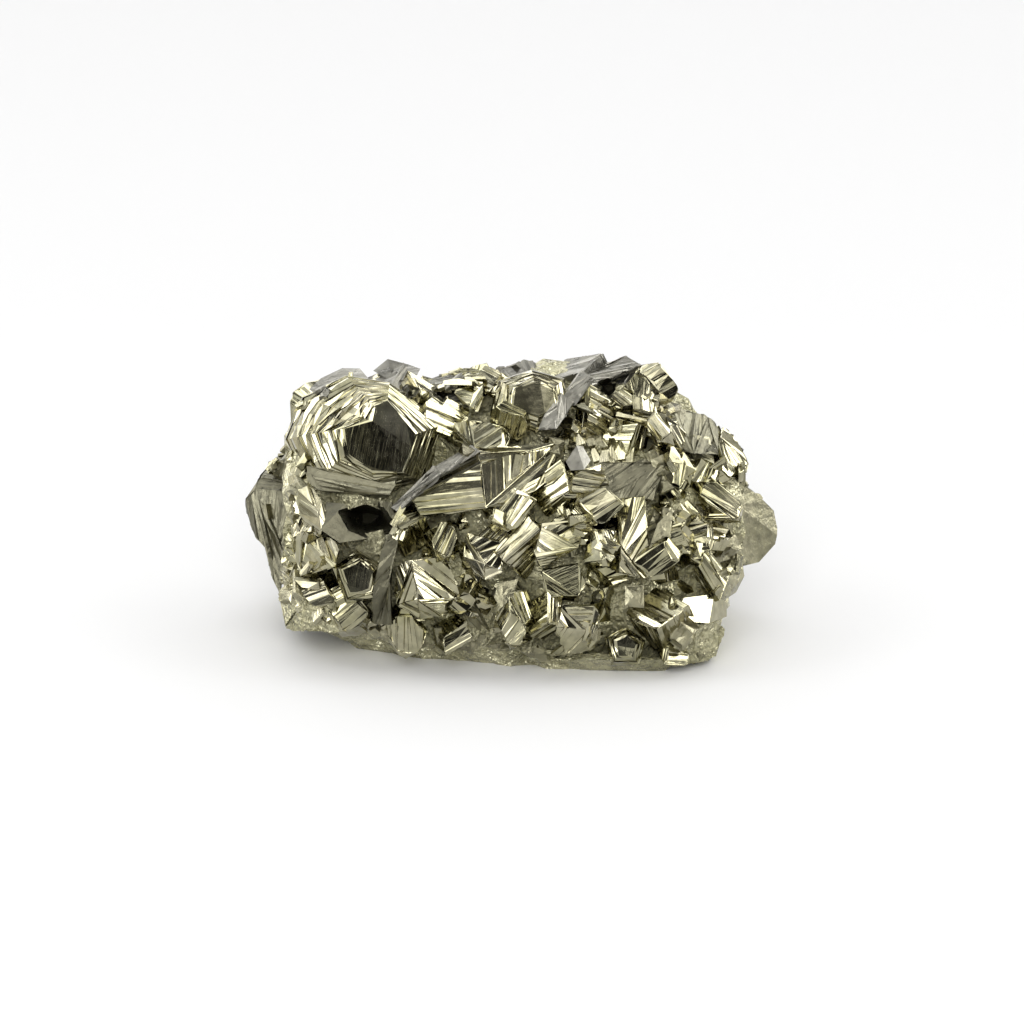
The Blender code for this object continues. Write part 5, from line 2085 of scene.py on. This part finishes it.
@dataclass
class Studio:
    """Floor, soft light and camera.

    Attributes:
        floor_size: width of the floor, in metres.
        floor_shade: how pale the floor is.
        distance: from the specimen's middle to the camera.
        elevation: how far the camera looks down.
        lens: focal length in mm.
        middle: height of the point the camera looks at.
        shift: how far the camera's frame is shifted, in frame widths.
        ambient: how bright the room is.
        panel_scale: how small the panels are that metal sees.
        panel_radiance: how bright the brightest of them is.
        panel_levels: shares of the panels, each with its brightness.
        ceiling: how bright the panels overhead are.
        flag_edge: where the dark flag round the camera starts and ends.
        rear_edge: where the dimmer rear starts and ends.
        rear_share: how bright the panels behind the specimen are.
        boxes: the soft boxes.
    """

    floor_size: float = 8.0
    floor_shade: float = 0.82
    distance: float = 0.636
    elevation: float = math.radians(20.0)
    lens: float = 200.0
    middle: float = 0.015
    shift: float = 1 / 1024
    ambient: float = 0.87
    panel_scale: float = 2.0
    panel_radiance: float = 8.6
    panel_levels: tuple[tuple[float, float], ...] = (
        (0.20, 0.06), (0.28, 0.11), (0.48, 0.175), (0.54, 0.80),
    )
    ceiling: float = 0.4
    flag_edge: tuple[float, float] = (0.66, 0.88)
    rear_edge: tuple[float, float] = (-0.7, -0.25)
    rear_share: float = 0.35
    boxes: tuple[SoftBox, ...] = (
        SoftBox("left_box", (-0.62, -0.10, 0.62), 0.30, 0.26, 2.2),
        SoftBox("right_box", (0.60, -0.05, 0.66), 0.26, 0.26, 2.3),
        SoftBox("top_box", (0.04, 0.12, 0.90), 0.44, 0.30, 1.6),
        SoftBox("front_box", (-0.05, -0.9, 0.55), 0.5, 0.4, 8.0, mirrored=False),
    )

    def build(self) -> None:
        """Build the floor, the lights, the world and the camera."""
        self.make_floor()
        for box in self.boxes:
            box.build()
        self.make_world()
        self.make_camera()

    def make_floor(self) -> None:
        """Lay the plain pale floor."""
        bpy.ops.mesh.primitive_plane_add(size=self.floor_size, location=(0, 0, -FLOOR_GAP))
        floor = bpy.context.object
        floor.name = "floor"
        bpy.ops.object.transform_apply(location=True, rotation=False, scale=False)
        paint = bpy.data.materials.new("floor_paint")
        paint.use_nodes = True
        shader = paint.node_tree.nodes["Principled BSDF"]
        shader.inputs["Base Color"].default_value = (*(self.floor_shade,) * 3, 1.0)
        shader.inputs["Roughness"].default_value = 0.9
        shader.inputs["Specular IOR Level"].default_value = 0.1
        floor.data.materials.append(paint)

    def make_world(self) -> None:
        """Surround the specimen with a pale room that metal sees as panels and dark gaps."""
        world = bpy.data.worlds.new("studio")
        world.use_nodes = True
        world.cycles.sampling_method = "NONE"
        sheet = NodeSheet(world.node_tree, "World Output")
        room = sheet.add("ShaderNodeBackground", {
            "Color": (1.0, 1.0, 1.0, 1.0), "Strength": self.ambient,
        })
        around = sheet.place.outputs["Generated"]
        cells = sheet.add("ShaderNodeTexVoronoi", {
            "Vector": around, "Scale": self.panel_scale, "Randomness": 1.0,
        })
        parts = sheet.add("ShaderNodeSeparateColor", {"Color": cells.outputs["Color"]})
        ramp = sheet.add("ShaderNodeValToRGB", {"Fac": parts.outputs[0]})
        ramp.color_ramp.interpolation = "LINEAR"
        stops = ramp.color_ramp.elements
        stops[0].position, stops[0].color = 0.0, (0.006, 0.006, 0.006, 1.0)
        stops[1].position, stops[1].color = 1.0, (1.0, 1.0, 1.0, 1.0)
        for position, level in self.panel_levels:
            stop = stops.new(position)
            stop.color = (level, level, level, 1.0)
        tint = sheet.blend(parts.outputs[1], (1.0, 0.97, 0.90), (0.93, 0.95, 1.0))
        panels = sheet.add("ShaderNodeVectorMath", {0: ramp.outputs[0], 1: tint},
                           operation="MULTIPLY")
        ahead = (0.0, -math.cos(self.elevation), math.sin(self.elevation))
        towards = sheet.add("ShaderNodeVectorMath", {0: around, 1: ahead}, operation="DOT_PRODUCT")
        flag = sheet.ranged(towards.outputs["Value"], 1.0, 0.03, *self.flag_edge)
        rear = sheet.ranged(towards.outputs["Value"], self.rear_share, 1.0, *self.rear_edge)
        flag = sheet.add("ShaderNodeMath", {0: flag, 1: rear}, operation="MULTIPLY").outputs[0]
        height = sheet.add("ShaderNodeSeparateXYZ", {0: around}).outputs["Z"]
        dome = sheet.ranged(height, 1.0, self.ceiling, 0.55, 0.95)
        shade = sheet.add("ShaderNodeMath", {0: flag, 1: dome}, operation="MULTIPLY")
        dimmed = sheet.add("ShaderNodeVectorMath", {0: panels.outputs[0]}, operation="SCALE")
        sheet.tree.links.new(shade.outputs[0], dimmed.inputs["Scale"])
        seen = sheet.add("ShaderNodeBackground", {
            "Color": dimmed.outputs[0], "Strength": self.panel_radiance,
        })
        rays = sheet.add("ShaderNodeLightPath")
        choice = sheet.add("ShaderNodeMixShader", {0: rays.outputs["Is Glossy Ray"]})
        sheet.tree.links.new(room.outputs[0], choice.inputs[1])
        sheet.tree.links.new(seen.outputs[0], choice.inputs[2])
        sheet.tree.links.new(choice.outputs[0], sheet.shader.inputs["Surface"])
        bpy.context.scene.world = world

    def make_camera(self) -> None:
        """Set up the camera and the view's plain colours."""
        eye = bpy.data.cameras.new("camera")
        eye.lens = self.lens
        eye.sensor_width = 36.0
        eye.shift_x = self.shift
        eye.clip_end = 50.0
        camera = bpy.data.objects.new("camera", eye)
        away = Vector((0, -math.cos(self.elevation), math.sin(self.elevation))) * self.distance
        camera.location = Vector((0, 0, self.middle)) + away
        camera.rotation_euler = away.to_track_quat("Z", "Y").to_euler()
        bpy.context.scene.collection.objects.link(camera)
        bpy.context.scene.camera = camera
        bpy.context.scene.view_settings.view_transform = "Standard"


# --- the scene -----------------------------------------------------------------------------------


def main() -> None:
    logging.basicConfig(level=logging.INFO, format="%(name)s: %(message)s")
    deselect_all()
    finishes = [finish.make() for finish in FINISHES]
    mass = CrystalMass("crystal_mass", finishes).build()
    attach(mass, "root")
    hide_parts(NODE)
    log.info("%s: %d triangles", mass.name, triangles(mass))
    Studio().build()


if __name__ == "__main__":
    main()
